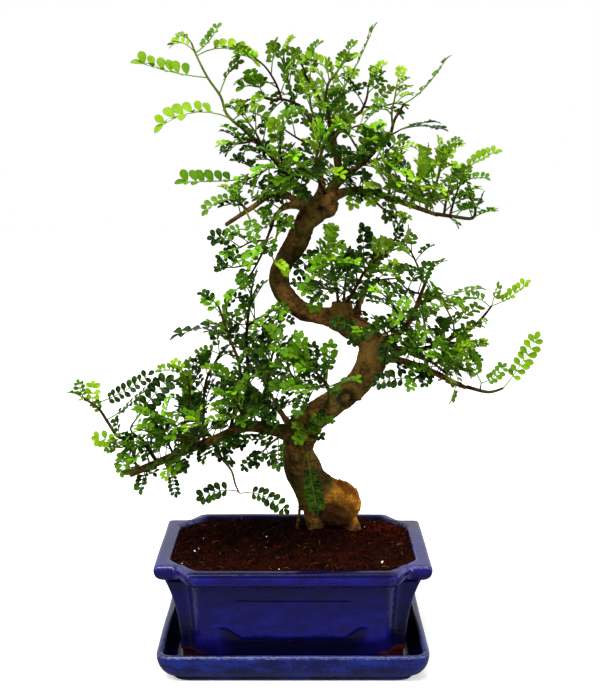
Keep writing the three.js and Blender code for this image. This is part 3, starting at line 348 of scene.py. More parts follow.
saucer_glaze, saucer_tree, saucer_shader = new_material("saucer_glaze", Specular_IOR_Level=0.22)
saucer_place = object_place(saucer_tree)
saucer_axes = add_node(saucer_tree, "ShaderNodeSeparateXYZ", {"Vector": saucer_place})
saucer_height = saucer_axes.outputs["Z"]
# A pale broken line round the rim's rounded top is crackle in the glaze, and partly a painted highlight along
# the rim
rim_edge = strip(saucer_tree, saucer_height, 0.0196, 0.0206, 0.0213, 0.0217)
crackle_and_glint_line = strip(saucer_tree, saucer_height, 0.0196, 0.0199, 0.0201, 0.0204)
crackle_and_glint_share = band(saucer_tree, noise_mask(saucer_tree, saucer_place, 380.0), 0.5, 0.66, 0.0, 0.3)
crackle_and_glint_mask = times(saucer_tree, crackle_and_glint_line, crackle_and_glint_share)
# Painted shade: the inner side and floor are painted nearly black, for the shade there and the deep glaze
inside_x = band(saucer_tree, math_node(saucer_tree, "ABSOLUTE", saucer_axes.outputs["X"]), 0.0945, 0.0925)
inside_y = band(saucer_tree, math_node(saucer_tree, "ABSOLUTE", saucer_axes.outputs["Y"]), 0.071, 0.069)
above_foot = band(saucer_tree, saucer_height, 0.0045, 0.0055, 0.0, 0.9)
deep_glaze_and_shade = times(saucer_tree, times(saucer_tree, inside_x, inside_y), above_foot)
saucer_coat = dress_glaze(saucer_tree, saucer_shader, rim_edge, deep_glaze_and_shade, thick=(0.0035, 0.005, 0.05, 1),
                          thin=(0.0075, 0.016, 0.15, 1), bare_edge_and_glint=(0.04, 0.045, 0.1, 1))
crackled_and_glinting = mix_colors(saucer_tree, crackle_and_glint_mask, saucer_coat.outputs["Color"], (0.3, 0.42, 0.5, 1))
saucer_tree.links.new(crackled_and_glinting, saucer_shader.inputs["Base Color"])
saucer_tree.links.new(saucer_coat.outputs["Roughness"], saucer_shader.inputs["Roughness"])

saucer = make_piece("glazed_saucer", saucer_points, saucer_faces, [saucer_glaze])
for face in saucer.data.polygons:
    face.use_smooth = len(face.vertices) == 4
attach(saucer, "root")
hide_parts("saucer")


# Pot.
# One press-moulded stoneware body: broad lip with curved notches at its corners, flared wall, four feet
# and two drain holes. It is glazed all over but for its feet, which stand in the saucer.
RIM_HALF = (100, 75)
RIM_TOP = 83
LIP_HEIGHT = 11
LIP_NOTCH = {"side": 17, "root": (16, 17), "front": 25}
BODY_TOP_HALF = (92, 67.5)
BODY_FOOT_HALF = (82, 58)
FRONT_PANEL_HALF = 68.5
NOTCH_ROOT_X = (73, 77)
NOTCH_SIDE = (10, 16)
FOOT_HEIGHT = 11
FLOOR_THICKNESS = 6
DRAIN_HOLE_RADIUS = 7
DRAIN_HOLE_X = 40
UNDERSIDE = SAUCER_FLOOR + FOOT_HEIGHT
INSIDE_FLOOR = UNDERSIDE + FLOOR_THICKNESS
LIP_BOTTOM = RIM_TOP - LIP_HEIGHT


def between(low, high, share):
    return low + (high - low) * share


def cut_rectangle(half, side, root, front, z):
    """A rectangle with its corners cut away, each notch or chamfer given by three points."""
    corners = []
    for quadrant, (sx, sy) in enumerate(((1, 1), (-1, 1), (-1, -1), (1, -1))):
        notch = [
            (sx * half[0], sy * (half[1] - side), 3, 4),
            (sx * (half[0] - root[0]), sy * (half[1] - root[1]), 5, 6),
            (sx * (half[0] - front), sy * half[1], 4, 5),
        ]
        corners.extend(notch if quadrant % 2 == 0 else notch[::-1])
    return rounded_loop(corners, z, {2: 16, 5: 9, 8: 16, 11: 9})


def wall_ring(share, inset=0.0, z=None):
    """The flare is slow near the ground and quick under the lip."""
    half = [between(foot, top, share ** 2.2) for foot, top in zip(BODY_FOOT_HALF, BODY_TOP_HALF)]
    side = between(*NOTCH_SIDE, share)
    root = (half[0] - between(*NOTCH_ROOT_X, share), side)
    level = between(UNDERSIDE, LIP_BOTTOM - 3, share) if z is None else z
    return cut_rectangle([h - inset for h in half], side, root, half[0] - FRONT_PANEL_HALF, level)


def lip_ring(inset, z):
    return cut_rectangle([h - inset for h in RIM_HALF], LIP_NOTCH["side"], LIP_NOTCH["root"],
                         LIP_NOTCH["front"], z)


INSIDE = [
    {"z": INSIDE_FLOOR, "half": (75, 51), "chamfer": (20, 20)},
    {"z": LIP_BOTTOM - 2, "half": (86.5, 61.5), "chamfer": (24, 30)},
    {"z": RIM_TOP, "half": (89.5, 66.5), "chamfer": (22, 26)},
]


def inside_ring(z, gap=0.0):
    low, high = INSIDE[:2] if z < INSIDE[1]["z"] else INSIDE[1:]
    share = (z - low["z"]) / (high["z"] - low["z"])
    half = [between(a, b, share) - gap for a, b in zip(low["half"], high["half"])]
    cut_x, cut_y = (between(a, b, share) for a, b in zip(low["chamfer"], high["chamfer"]))
    return cut_rectangle(half, cut_y, (cut_x * 0.46, cut_y * 0.46), cut_x, z)


LIP_PROFILE = [
    (7.4, 70.2), (5.9, 70.7), (4.4, 71.4), (3.0, 72.3), (1.8, 73.5), (0.9, 75.0), (0.3, 76.7), (0.0, 78.4),
    (0.1, 80.2), (0.5, 81.6), (1.2, 82.5), (2.2, 82.9), (3.4, 83.0), (5.0, 83.0),
]
MOUTH_PROFILE = [(-2.0, 83.0), (-1.0, 82.9), (-0.3, 82.4), (0.0, 81.6)]

pot_rings = [wall_ring(0, 1.2), wall_ring(0, 0.0)]
pot_rings += [wall_ring(step / 14) for step in range(1, 15)]
pot_rings += [lip_ring(inset, z) for inset, z in LIP_PROFILE]
for gap, z in MOUTH_PROFILE:
    pot_rings.append([Vector((p.x, p.y, z)) for p in inside_ring(min(z, RIM_TOP), gap)])
pot_rings += [inside_ring(z) for z in (79, 76, 70, 60, 50, 40, 30, 25, INSIDE_FLOOR)]
pot_points, pot_faces = loft(pot_rings)
pot_points = uneven(pot_points, 50, 0.45)


def solid_block(low, high):
    levels = list(zip(low, high))
    points = [Vector((x, y, z)) for z in levels[2] for y in levels[1] for x in levels[0]]
    faces = [(0, 2, 3, 1), (4, 5, 7, 6), (0, 1, 5, 4), (2, 6, 7, 3), (0, 4, 6, 2), (1, 3, 7, 5)]
    return points, faces


def arch_block(half_foot, half_top, reach, along_y):
    """A prism under an arch whose shoulders curve down into the feet."""
    profile = [(-half_foot, SAUCER_FLOOR - 1)]
    for k in range(7):
        turn = k / 6 * math.pi / 2
        x = half_foot - (half_foot - half_top) * (1 - math.cos(turn))
        profile.append((-x, SAUCER_FLOOR + FOOT_HEIGHT * math.sin(turn)))
    profile += [(-x, z) for x, z in reversed(profile)]
    ends = []
    for side in (-1, 1):
        ends.append([Vector((x, side * reach, z)) if along_y else Vector((side * reach, -x, z))
                     for x, z in profile])
    return loft(ends)


def combine(target, points, faces, operation):
    """Cuts a helper solid out of the target, or joins it, and keeps the result as the target's mesh."""
    helper = make_piece("helper", points, faces, [])
    step = target.modifiers.new(operation, "BOOLEAN")
    step.operation = operation
    step.solver = "EXACT"
    step.object = helper
    keep_shape(target)
    bpy.data.objects.remove(helper)


def keep_shape(target):
    """Applies the target's modifiers."""
    bpy.context.view_layer.update()
    evaluated = target.evaluated_get(bpy.context.evaluated_depsgraph_get())
    target.data = bpy.data.meshes.new_from_object(evaluated)
    target.modifiers.clear()


TERRACOTTA = (0.03, 0.003, 0.0016, 1)
SHADED_CLAY = (0.004, 0.0012, 0.0016, 1)
pot_glaze, pot_tree, pot_shader = new_material("pot_glaze")
pot_place = object_place(pot_tree)
pot_axes = add_node(pot_tree, "ShaderNodeSeparateXYZ", {"Vector": pot_place})
pot_height = pot_axes.outputs["Z"]
pot_aside = math_node(pot_tree, "ABSOLUTE", pot_axes.outputs["X"])
pot_front = band(pot_tree, math_node(pot_tree, "ABSOLUTE", pot_axes.outputs["Y"]), 0.05, 0.052)
# The long walls have a shallow ledge above the foot that rises near the feet, and a groove under the lip
ledge_line = band(pot_tree, pot_aside, 0.035, 0.05, 0.0295, 0.0372)
under_ledge = band(pot_tree, math_node(pot_tree, "SUBTRACT", ledge_line, pot_height), -0.0016, 0.0016)
ledge = times(pot_tree, times(pot_tree, under_ledge, band(pot_tree, pot_aside, 0.058, 0.05)), pot_front)
groove_away = math_node(pot_tree, "ABSOLUTE", math_node(pot_tree, "SUBTRACT", pot_height, 0.0583))
groove = times(pot_tree, band(pot_tree, groove_away, 0.0018, 0.0004), band(pot_tree, pot_aside, 0.043, 0.039))
groove = times(pot_tree, groove, pot_front)
# Painted shade darkens the glaze under the ledge, at the foot, in the notched corners, under the lip
# and down the wall, and on the middle of the lip's top; in the groove the glaze pools dark
ledge_shadow = times(pot_tree, ledge, band(pot_tree, pot_aside, 0.06, 0.042, 0.5, 0.95))
foot_shadow = band(pot_tree, pot_height, 0.034, 0.021, 0.0, 0.7)
corner_shade = times(pot_tree, band(pot_tree, pot_aside, 0.064, 0.074),
                     band(pot_tree, pot_height, 0.062, 0.03, 0.2, 0.9))
under_lip = math_node(pot_tree, "ABSOLUTE", math_node(pot_tree, "SUBTRACT", pot_height, 0.0655))
lip_shadow = band(pot_tree, under_lip, 0.0055, 0.0025, 0.0, 0.5)
wall_shade = times(pot_tree, band(pot_tree, pot_height, 0.045, 0.062, 0.12, 0.35),
                   band(pot_tree, pot_height, 0.072, 0.07))
lip_rim_shade = times(pot_tree, band(pot_tree, pot_height, 0.0795, 0.0808),
                      band(pot_tree, pot_aside, 0.078, 0.068, 0.0, 0.75))
pot_pooling_and_shade = most(pot_tree, ledge_shadow, foot_shadow, corner_shade, lip_shadow, wall_shade, lip_rim_shade,
                  times(pot_tree, groove, 0.55))
# Glaze breaks pale on the lip's edges and on the corners of the front panel, partly as painted highlights
lip_top_edge_and_glint = times(pot_tree, strip(pot_tree, pot_height, 0.0806, 0.0816, 0.0825, 0.083),
                     band(pot_tree, pot_aside, 0.07, 0.08, 0.1, 0.8))
lip_low_edge = strip(pot_tree, pot_height, 0.0712, 0.0718, 0.0726, 0.0735)
lip_edges_and_glints = math_node(pot_tree, "ADD", lip_top_edge_and_glint, times(pot_tree, lip_low_edge, 0.2))
corner_edge_and_glint = times(pot_tree, strip(pot_tree, pot_aside, 0.067, 0.0685, 0.0715, 0.0735),
                    band(pot_tree, pot_height, 0.04, 0.052, 0.0, 0.2))
pot_edge_and_glint = most(pot_tree, lip_edges_and_glints, times(pot_tree, corner_edge_and_glint, pot_front))
pot_coat = dress_glaze(pot_tree, pot_shader, pot_edge_and_glint, pot_pooling_and_shade, thick=(0.0035, 0.003, 0.075, 1),
                       thin=(0.0065, 0.0055, 0.135, 1), bare_edge_and_glint=(0.08, 0.08, 0.17, 1))
add_relief(pot_tree, pot_shader, times(pot_tree, math_node(pot_tree, "ADD", ledge, groove), -1.0), 0.5)
# The glaze ends in drips above the bare feet, and painted shade darkens the feet towards the left
drips = noise_mask(pot_tree, pot_place, 90.0, 3.0)
glaze_line = math_node(pot_tree, "ADD", pot_height, times(pot_tree, drips, 0.006))
bare_corner = times(pot_tree, band(pot_tree, glaze_line, 0.0235, 0.0205),
                    band(pot_tree, pot_aside, 0.0605, 0.0655))
bare_foot = most(pot_tree, band(pot_tree, glaze_line, 0.0145, 0.013), bare_corner)
left_foot_shade = band(pot_tree, pot_axes.outputs["X"], -0.05, 0.05, 0.75, 0.0)
foot_clay = mix_colors(pot_tree, left_foot_shade, TERRACOTTA, SHADED_CLAY)
pot_color = mix_colors(pot_tree, bare_foot, pot_coat.outputs["Color"], foot_clay)
pot_shine = math_node(pot_tree, "MINIMUM", band(pot_tree, bare_foot, 0.0, 1.0, 0.2, 0.03),
                      band(pot_tree, lip_rim_shade, 0.0, 0.75, 0.2, 0.05))
pot_roughness = most(pot_tree, pot_coat.outputs["Roughness"], times(pot_tree, bare_foot, 0.85))
pot_tree.links.new(pot_color, pot_shader.inputs["Base Color"])
pot_tree.links.new(pot_shine, pot_shader.inputs["Specular IOR Level"])
pot_tree.links.new(pot_roughness, pot_shader.inputs["Roughness"])

pot = make_piece("glazed_pot", pot_points, pot_faces, [pot_glaze])
feet = make_piece("feet", *loft([wall_ring(0, inset, z) for inset, z in (
    (3.2, SAUCER_FLOOR), (2.2, SAUCER_FLOOR + 0.8), (1.5, SAUCER_FLOOR + 4), (1.2, UNDERSIDE + 1),
)]), [pot_glaze])
foot_x, foot_y = BODY_FOOT_HALF
combine(feet, *arch_block(foot_x * 0.56, foot_x * 0.4, 2 * foot_y, along_y=True), "DIFFERENCE")
combine(feet, *arch_block(foot_x * 0.35, foot_x * 0.25, 2 * foot_x, along_y=False), "DIFFERENCE")
combine(feet, *solid_block((-foot_x * 0.72, -foot_y * 0.66, SAUCER_FLOOR - 1),
                           (foot_x * 0.72, foot_y * 0.66, UNDERSIDE)), "DIFFERENCE")
joint = pot.modifiers.new("feet", "BOOLEAN")
joint.operation = "UNION"
joint.solver = "EXACT"
joint.object = feet
keep_shape(pot)
bpy.data.objects.remove(feet)
for side in (-1, 1):
    hole = [[Vector((side * DRAIN_HOLE_X + DRAIN_HOLE_RADIUS * math.cos(k / 16 * math.pi),
                     DRAIN_HOLE_RADIUS * math.sin(k / 16 * math.pi), z)) for k in range(32)]
            for z in (UNDERSIDE - 3, INSIDE_FLOOR + 3)]
    combine(pot, *loft(hole), "DIFFERENCE")
pot.data.shade_smooth()
pot.data.set_sharp_from_angle(angle=math.radians(48))
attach(pot, "root")
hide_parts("pot")


# Drain nets.
# Two squares of black plastic net, cut with scissors and laid over the drain holes, under the soil.
# Nothing fixes them but the soil's weight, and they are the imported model's own nodes.
net_plastic, net_tree, net_shader = new_material("net_plastic", IOR=1.46)
net_grime = noise_mask(net_tree, object_place(net_tree), 300.0, 4.0)
net_color = mix_colors(net_tree, net_grime, (0.012, 0.012, 0.012, 1), (0.07, 0.045, 0.03, 1))
net_tree.links.new(net_color, net_shader.inputs["Base Color"])
net_tree.links.new(band(net_tree, net_grime, 0.3, 0.7, 0.45, 0.8), net_shader.inputs["Roughness"])
for side in ("left", "right"):
    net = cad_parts["drain_net_" + side]
    net.data.materials.clear()
    net.data.materials.append(net_plastic)


# Soil.
# Dark peat and bark mixed with coconut fibre, heaped a little round the roots and packed by hand.
# It fills the pot to just under the rim, with loose crumbs, pale fibres and a few white grains on top.
SOIL_EDGE = 81
MOUND_CENTRE = (14, 18)
MOUND_SPREAD = (48, 34)
MOUND_RISE = 6.5
CLEARANCE = 0.3


def soil_height(x, y):
    away_x = (x - MOUND_CENTRE[0]) / MOUND_SPREAD[0]
    away_y = (y - MOUND_CENTRE[1]) / MOUND_SPREAD[1]
    rise = MOUND_RISE * math.exp(-away_x ** 2 - away_y ** 2)
    lumps = 1.1 * math.sin(x * 0.17 + 1.3) * math.cos(y * 0.21) + 0.8 * math.sin(x * 0.31 - y * 0.27)
    return SOIL_EDGE + 0.4 + rise + lumps


def crumbled(x, y):
    """Height of the top: the mound, with clods and crumbs on it."""
    clods = noise.fractal(Vector((x, y, 0)) / 9, 0.9, 2.0, 3) * 1.1
    crumbs = abs(noise.noise(Vector((x, y, 5)) / 2.6)) * 1.3 + noise.noise(Vector((x, y, 9)) / 1.3) * 0.5
    return soil_height(x, y) + clods + crumbs - 0.4


def seeded_draws(seed):
    """The same stream of draws as the part's source, so that both grow the same tree."""
    state = seed & 0xFFFFFFFF

    def draw():
        nonlocal state
        state = (state + 0x6D2B79F5) & 0xFFFFFFFF
        t = state
        t = (t ^ (t >> 15)) * (t | 1) & 0xFFFFFFFF
        t ^= (t + ((t ^ (t >> 7)) * (t | 61) & 0xFFFFFFFF)) & 0xFFFFFFFF
        return ((t ^ (t >> 14)) & 0xFFFFFFFF) / 4294967296

    return draw


def fine_loop(ring, spacing):
    """The same closed loop with points no further apart than the spacing."""
    fine = []
    for i, p in enumerate(ring):
        q = ring[(i + 1) % len(ring)]
        count = max(1, math.ceil((q - p).length / spacing))
        fine.extend(p.lerp(q, k / count) for k in range(count))
    return fine


SOIL_SPACING = 1.5
soil_wall = fine_loop(inside_ring(SOIL_EDGE, CLEARANCE), SOIL_SPACING)
soil_rings = []
for z in (INSIDE_FLOOR + 0.4, 40, 60, 74):
    widest = fine_loop(inside_ring(z, CLEARANCE), SOIL_SPACING * 4)
    share = [k / len(soil_wall) * len(widest) for k in range(len(soil_wall))]
    soil_rings.append([widest[int(k)].lerp(widest[(int(k) + 1) % len(widest)], k % 1) for k in share])
SOIL_STEPS = 44
for step in range(SOIL_STEPS):
    shrink = 1 - step / SOIL_STEPS
    settled = min(1, step / 5)
    ring = []
    for p in soil_wall:
        x, y = p.x * shrink, p.y * shrink
        ring.append(Vector((x, y, between(SOIL_EDGE - 0.5, crumbled(x, y), settled))))
    soil_rings.append(ring)
soil_points, soil_faces = loft(soil_rings)

soil_grit, soil_in, soil_out = begin_group("soil_grit", {"Shade": NUMBER}, {"Color": COLOR, "Height": NUMBER})
soil_place = object_place(soil_grit)
coarse = noise_mask(soil_grit, soil_place, 120.0, 6.0)
fine = noise_mask(soil_grit, soil_place, 700.0, 4.0)
speck = add_node(soil_grit, "ShaderNodeTexVoronoi", {"Vector": soil_place, "Scale": 520.0}).outputs["Color"]
dark_red = mix_colors(soil_grit, band(soil_grit, coarse, 0.38, 0.66), (0.0015, 0.0005, 0.0003, 1),
                      (0.015, 0.0024, 0.0006, 1))
lit_red = mix_colors(soil_grit, band(soil_grit, fine, 0.5, 0.75), dark_red, (0.042, 0.007, 0.0015, 1))
# Painted shade: the soil is painted darker round a spot left of and behind the trunk
SOIL_SHADE_SPOT = (-0.012, 0.028, 0.085)
soil_shade_away = add_node(soil_grit, "ShaderNodeVectorMath", {0: soil_place, 1: SOIL_SHADE_SPOT},
                    operation="DISTANCE").outputs["Value"]
soil_shading = band(soil_grit, soil_shade_away, 0.075, 0.02, 0.0, 0.75)
shaded_soil = mix_colors(soil_grit, soil_shading, lit_red, (0.002, 0.0006, 0.0003, 1))
tinted = mix_colors(soil_grit, 0.55, shaded_soil, mix_colors(soil_grit, 1.0, shaded_soil, speck, "MULTIPLY"))
crumb_color = mix_colors(soil_grit, soil_in["Shade"], tinted, (0.085, 0.01, 0.0035, 1))
soil_grit.links.new(crumb_color, soil_out["Color"])
soil_grit.links.new(math_node(soil_grit, "ADD", coarse, fine), soil_out["Height"])

potting_soil, soil_tree, soil_shader = new_material("potting_soil", Roughness=0.95, Specular_IOR_Level=0.02)
crumb_shade = add_node(soil_tree, "ShaderNodeAttribute", attribute_name="shade").outputs["Fac"]
grit = add_node(soil_tree, "ShaderNodeGroup", {"Shade": crumb_shade}, node_tree=soil_grit)
soil_tree.links.new(grit.outputs["Color"], soil_shader.inputs["Base Color"])
add_relief(soil_tree, soil_shader, grit.outputs["Height"], 0.8)

pale_fibre, fibre_tree, fibre_shader = new_material("pale_fibre", Roughness=0.8)
fibre_share = band(fibre_tree, noise_mask(fibre_tree, object_place(fibre_tree), 260.0), 0.35, 0.65)
fibre_color = mix_colors(fibre_tree, fibre_share, (0.1, 0.03, 0.01, 1), (0.32, 0.15, 0.06, 1))
fibre_tree.links.new(fibre_color, fibre_shader.inputs["Base Color"])
white_grain, grain_tree, grain_shader = new_material("white_grain", Roughness=0.7)
grain_noise = add_node(grain_tree, "ShaderNodeTexNoise", {"Scale": 600.0}).outputs[0]
grain_color = mix_colors(grain_tree, grain_noise, (0.6, 0.58, 0.52, 1), (0.9, 0.9, 0.88, 1))
grain_tree.links.new(grain_color, grain_shader.inputs["Base Color"])

CRUMB_CORNERS = [
    Vector(p).normalized() for p in (
        (0, 0, 1), (0.9, 0, 0.45), (0.28, 0.85, 0.45), (-0.72, 0.53, 0.45), (-0.72, -0.53, 0.45),
        (0.28, -0.85, 0.45), (0.72, 0.53, -0.45), (-0.28, 0.85, -0.45), (-0.9, 0, -0.45),
        (-0.28, -0.85, -0.45), (0.72, -0.53, -0.45), (0, 0, -1),
    )
]
CRUMB_FACES = []
for k in range(5):
    CRUMB_FACES += [(0, 1 + k, 1 + (k + 1) % 5), (1 + k, 6 + k, 1 + (k + 1) % 5)]
    CRUMB_FACES += [(1 + (k + 1) % 5, 6 + k, 6 + (k + 1) % 5), (11, 6 + (k + 1) % 5, 6 + k)]
soil_shades = [0.0] * len(soil_points)
soil_materials = [0] * len(soil_faces)
draw = seeded_draws(7)


# The soil's top reaches so far to each side, with its corners cut off
SOIL_REACH = (88, 64)
SOIL_CORNERS = 1.68


def soil_spot():
    """A place on the soil's top, inside the pot's opening."""
    while True:
        x, y = ((draw() - 0.5) * 2 * reach for reach in SOIL_REACH)
        if abs(x) / SOIL_REACH[0] + abs(y) / SOIL_REACH[1] < SOIL_CORNERS:
            return x, y


def add_crumb(x, y, size, shade, material, sunk=0.3):
    turn = Quaternion((draw() - 0.5, draw() - 0.5, draw() - 0.5, draw() - 0.5)).normalized()
    stretch = Vector((0.7 + 0.6 * draw(), 0.7 + 0.6 * draw(), 0.6 + 0.4 * draw()))
    centre = Vector((x, y, crumbled(x, y) + size * (0.5 - sunk)))
    start = len(soil_points)
    for corner in CRUMB_CORNERS:
        lump = corner * size * (0.75 + 0.5 * draw())
        soil_points.append(centre + turn @ Vector(a * b for a, b in zip(lump, stretch)))
        soil_shades.append(shade)
    soil_faces.extend(tuple(start + i for i in face) for face in CRUMB_FACES)
    soil_materials.extend([material] * len(CRUMB_FACES))


CRUMBS = 3000
# Larger and redder crumbs are heaped at the right back
HEAP_X = 62
HEAP_Y = 40
HEAP_SPREAD = 26
for _ in range(CRUMBS):
    x, y = soil_spot()
    heap = math.exp(-((x - HEAP_X) / HEAP_SPREAD) ** 2 - ((y - HEAP_Y) / HEAP_SPREAD) ** 2)
    size = 0.4 + 1.0 * draw() ** 2 + heap * 1.3 * draw()
    add_crumb(x, y, size, min(1, draw() ** 3 * 0.45 + heap * 0.55), 0)
WHITE_GRAINS = 10
for _ in range(WHITE_GRAINS):
    add_crumb(*soil_spot(), 0.55 + 0.4 * draw(), 0, 2, 0.1)


def add_fibre(x, y, length, thickness):
    """A short curved thread that lies on the soil."""
    heading = draw() * 2 * math.pi
    bend = (draw() - 0.5) * 2.4
    lift = draw() * 1.5
    start = len(soil_points)
    steps = 5
    at = Vector((x, y, 0))
    for k in range(steps + 1):
        at.z = crumbled(at.x, at.y) + 0.35 + lift * math.sin(k / steps * math.pi)
        side = Vector((-math.sin(heading), math.cos(heading), 0))
        width = thickness * (1 - 0.6 * k / steps)
        for corner in (side * width, Vector((0, 0, width)), -side * width):
            soil_points.append(at + corner)
            soil_shades.append(0.0)
        heading += bend / steps
        at = at + Vector((math.cos(heading), math.sin(heading), 0)) * length / steps
    for k in range(steps):
        for j in range(3):
            a, b = start + 3 * k + j, start + 3 * k + (j + 1) % 3
            soil_faces.append((a, b, b + 3, a + 3))
    last = start + 3 * steps
    soil_faces.extend([(start + 2, start + 1, start), (last, last + 1, last + 2)])
    soil_materials.extend([1] * (3 * steps + 2))


FIBRES = 70
for _ in range(FIBRES):
    add_fibre(*soil_spot(), 1.5 + 5 * draw(), 0.07 + 0.08 * draw())

soil = make_piece("potting_soil", soil_points, soil_faces, [potting_soil, pale_fibre, white_grain])
soil.data.polygons.foreach_set("material_index", soil_materials)
soil.data.attributes.new("shade", "FLOAT", "POINT").data.foreach_set("value", soil_shades)
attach(soil, "root")
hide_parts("soil")


# Wood.
# One living piece: the S-shaped trunk on its leaning leg, the knobby root swelling, the cut stub, the cut
# collar at the top, the branches and the roots in the soil. The bark is thin, fissured and corky.
TRUNK = [
    (15.6, 16, 101, 7.8), (15, 15, 109, 10.6), (13.5, 14, 121, 13.4), (9, 12, 133, 14),
    (4, 8, 147, 12.2), (3.5, 4, 157, 12), (6, 0, 167, 12), (12, -2, 177, 11.6), (25, -2, 187, 10),
    (39.5, 0, 196.5, 9.4), (50.5, 2, 207, 10), (57, 3, 219, 10.9), (59, 3, 231, 10.5),
    (53, 2, 241, 9.8), (41, 0, 248, 8.9), (28, -3, 254, 7.4), (17, -5, 256, 6.6), (6, -6, 260, 6.6),
    (-3, -7, 268, 7.2), (-9, -6, 277, 7.2), (-10, -4, 287, 7.2), (-6, -2, 296, 7.5), (0, 0, 305, 8.4),
    (5, 2, 314, 8.4), (8.5, 3, 322, 7.8), (13, 3, 329, 9.4), (17.5, 3, 338, 12.4),
]
BRANCHES = [
    [(15, 3, 336, 9.8), (24, 1, 334.5, 8.6), (30.5, -1, 332.5, 6)],
    [(4, 0, 164, 6.5), (-16, -8, 172, 5), (-35, -14, 175, 4.2), (-53, -18, 168, 3.6),
     (-77, -20, 159, 3.2), (-99, -22, 150, 2.9), (-120, -22, 141, 2.7)],
    [(65, 3, 223, 3.8), (79, -2, 222, 2.8), (97, -6, 217, 2.3), (112, -8, 210, 2.1),
     (127, -10, 203, 1.8)],
    [(62, 6, 231, 3.6), (81, 12, 228, 2.6), (99, 16, 228, 2), (119, 18, 236, 1.6)],
    [(59, 2, 235, 3.6), (76, -6, 242, 2.5), (85, -10, 253, 2.1), (91, -14, 269, 1.8)],
    [(37, 0, 250, 6.5), (36, 0, 258, 8.2), (36, 0, 265, 7.6)],
    [(14, 2, 335, 4.4), (1, -6, 341, 2.6), (-13, -12, 345, 2.2), (-28, -18, 336, 1.9),
     (-48, -22, 323, 1.6)],
    [(11, 0, 335, 3.6), (-4, -8, 336, 2.2), (-12, -14, 330, 1.8), (-16, -17, 321, 1.5)],
    [(14, 5, 336, 4.7), (6, 6, 347, 3), (-5, 2, 358, 2.4), (-16, -4, 372, 2), (-38, -10, 393, 1.4)],
    [(21, 4, 337, 5.8), (29, 5, 349, 3.8), (33, 5, 361, 3.2), (28, 3, 387, 2.3), (23, -2, 411, 1.3)],
    [(29, 3, 385, 2.2), (18, 4, 392, 1.9), (4, 4, 407, 1.4)],
    [(29, 3, 384, 2.2), (38, 8, 395, 1.8), (50, 12, 403, 1.4)],
    [(27, 2, 347, 3.6), (37, -8, 356, 2.5), (52, -18, 369, 1.9), (61, -20, 379, 1.7)],
    [(21, 0, 337, 5.8), (37, -8, 346, 3.2), (54, -12, 347, 2.6), (72, -16, 341, 2.2),
     (103, -21, 330, 1.6)],
    [(20, 8, 337, 5.1), (21, 24, 350, 2.8), (18, 40, 365, 2)],
    [(43, 6, 247, 5.1), (49, 26, 259, 2.8), (55, 44, 270, 2.1)],
    [(5, 4, 162, 5.8), (-3, 28, 167, 2.9), (-12, 46, 176, 2.2)],
    [(24, -4, 188, 3.6), (26, -27, 198, 1.6)],
]
ROOTS = [
    [(15.6, 16, 106, 8.6), (16, 17, 96, 7.4), (17, 20, 86, 6), (17, 20, 74, 4.4), (8, 14, 60, 2.2)],
    [(11, 13, 128, 12), (21, 17, 119, 13.4), (31, 20, 109, 13.4)],
    [(37, 20, 105, 8), (42, 22, 95, 7), (46, 24, 86, 5.6), (50, 28, 74, 3.6), (62, 34, 58, 1.8)],
    [(22, 22, 110, 7), (24, 32, 96, 5), (24, 40, 80, 3.4), (12, 44, 60, 1.8)],
    [(9, 16, 112, 2.4), (5, 18, 104, 1.6), (3, 21, 88, 1.4), (-4, 22, 76, 1.2)],
]
BURL_CENTRE = Vector((33.5, 20, 107.5))
BURL_RADII = (18, 15, 18.4)
# The healed knot on the arm is a ring of pits round a low boss
KNOT = {"at": (38.5, -8.5, 194.5), "radius": 5.4, "pits": 12, "reach": 3.3, "depth": 1.7}
# Each scar is a place on the bark, its reach and its depth. A negative depth is a knob
SCARS = [
    ((38.5, -9, 195), 3.4, -1.6), ((45, -6, 190.5), 4.2, 3.2), ((48.5, -4, 194), 3, -2),
    ((20, -9, 332), 4.2, 3.6), ((31, -4, 332), 3.2, -2.2), ((28, -6, 326.5), 3, -2.4),
    ((33, -2, 327), 2.6, -2), ((34, 0, 336), 2.6, -1.6), ((13, -8, 336), 2.6, -1.2),
    ((25, -8, 337), 2.8, -1.5), ((23.5, -7, 327.5), 2.2, 1.6), ((2, -9, 303), 3.2, 1.3),
    ((-4, -12, 271), 4, -0.9), ((35, -8, 262), 3.5, -1.0), ((38, -7, 268), 3, 1.4), ((6, 3, 128), 4, -0.8),
    ((60, -7, 226), 4.5, -0.8), ((32, 0, 127), 3, -1.2), ((27, 2, 130), 2.4, -1.1),
]
for k in range(KNOT["pits"]):
    turn = k / KNOT["pits"] * 2 * math.pi
    x, y, z = KNOT["at"]
    place = (x + KNOT["radius"] * math.cos(turn), y, z + KNOT["radius"] * math.sin(turn))
    SCARS.append((place, KNOT["reach"], KNOT["depth"]))


def flowing_line(line, steps_each):
    """A smooth line through the points, with the radius as its fourth number."""
    smooth = []
    for k in range(len(line) - 1):
        before, a, b, after = (Vector(line[min(max(k + i, 0), len(line) - 1)]) for i in (-1, 0, 1, 2))
        for step in range(steps_each):
            t = step / steps_each
            smooth.append(0.5 * (2 * a + (b - before) * t + (2 * before - 5 * a + 4 * b - after) * t ** 2
                                 + (3 * a - before - 3 * b + after) * t ** 3))
    return smooth + [Vector(line[-1])]


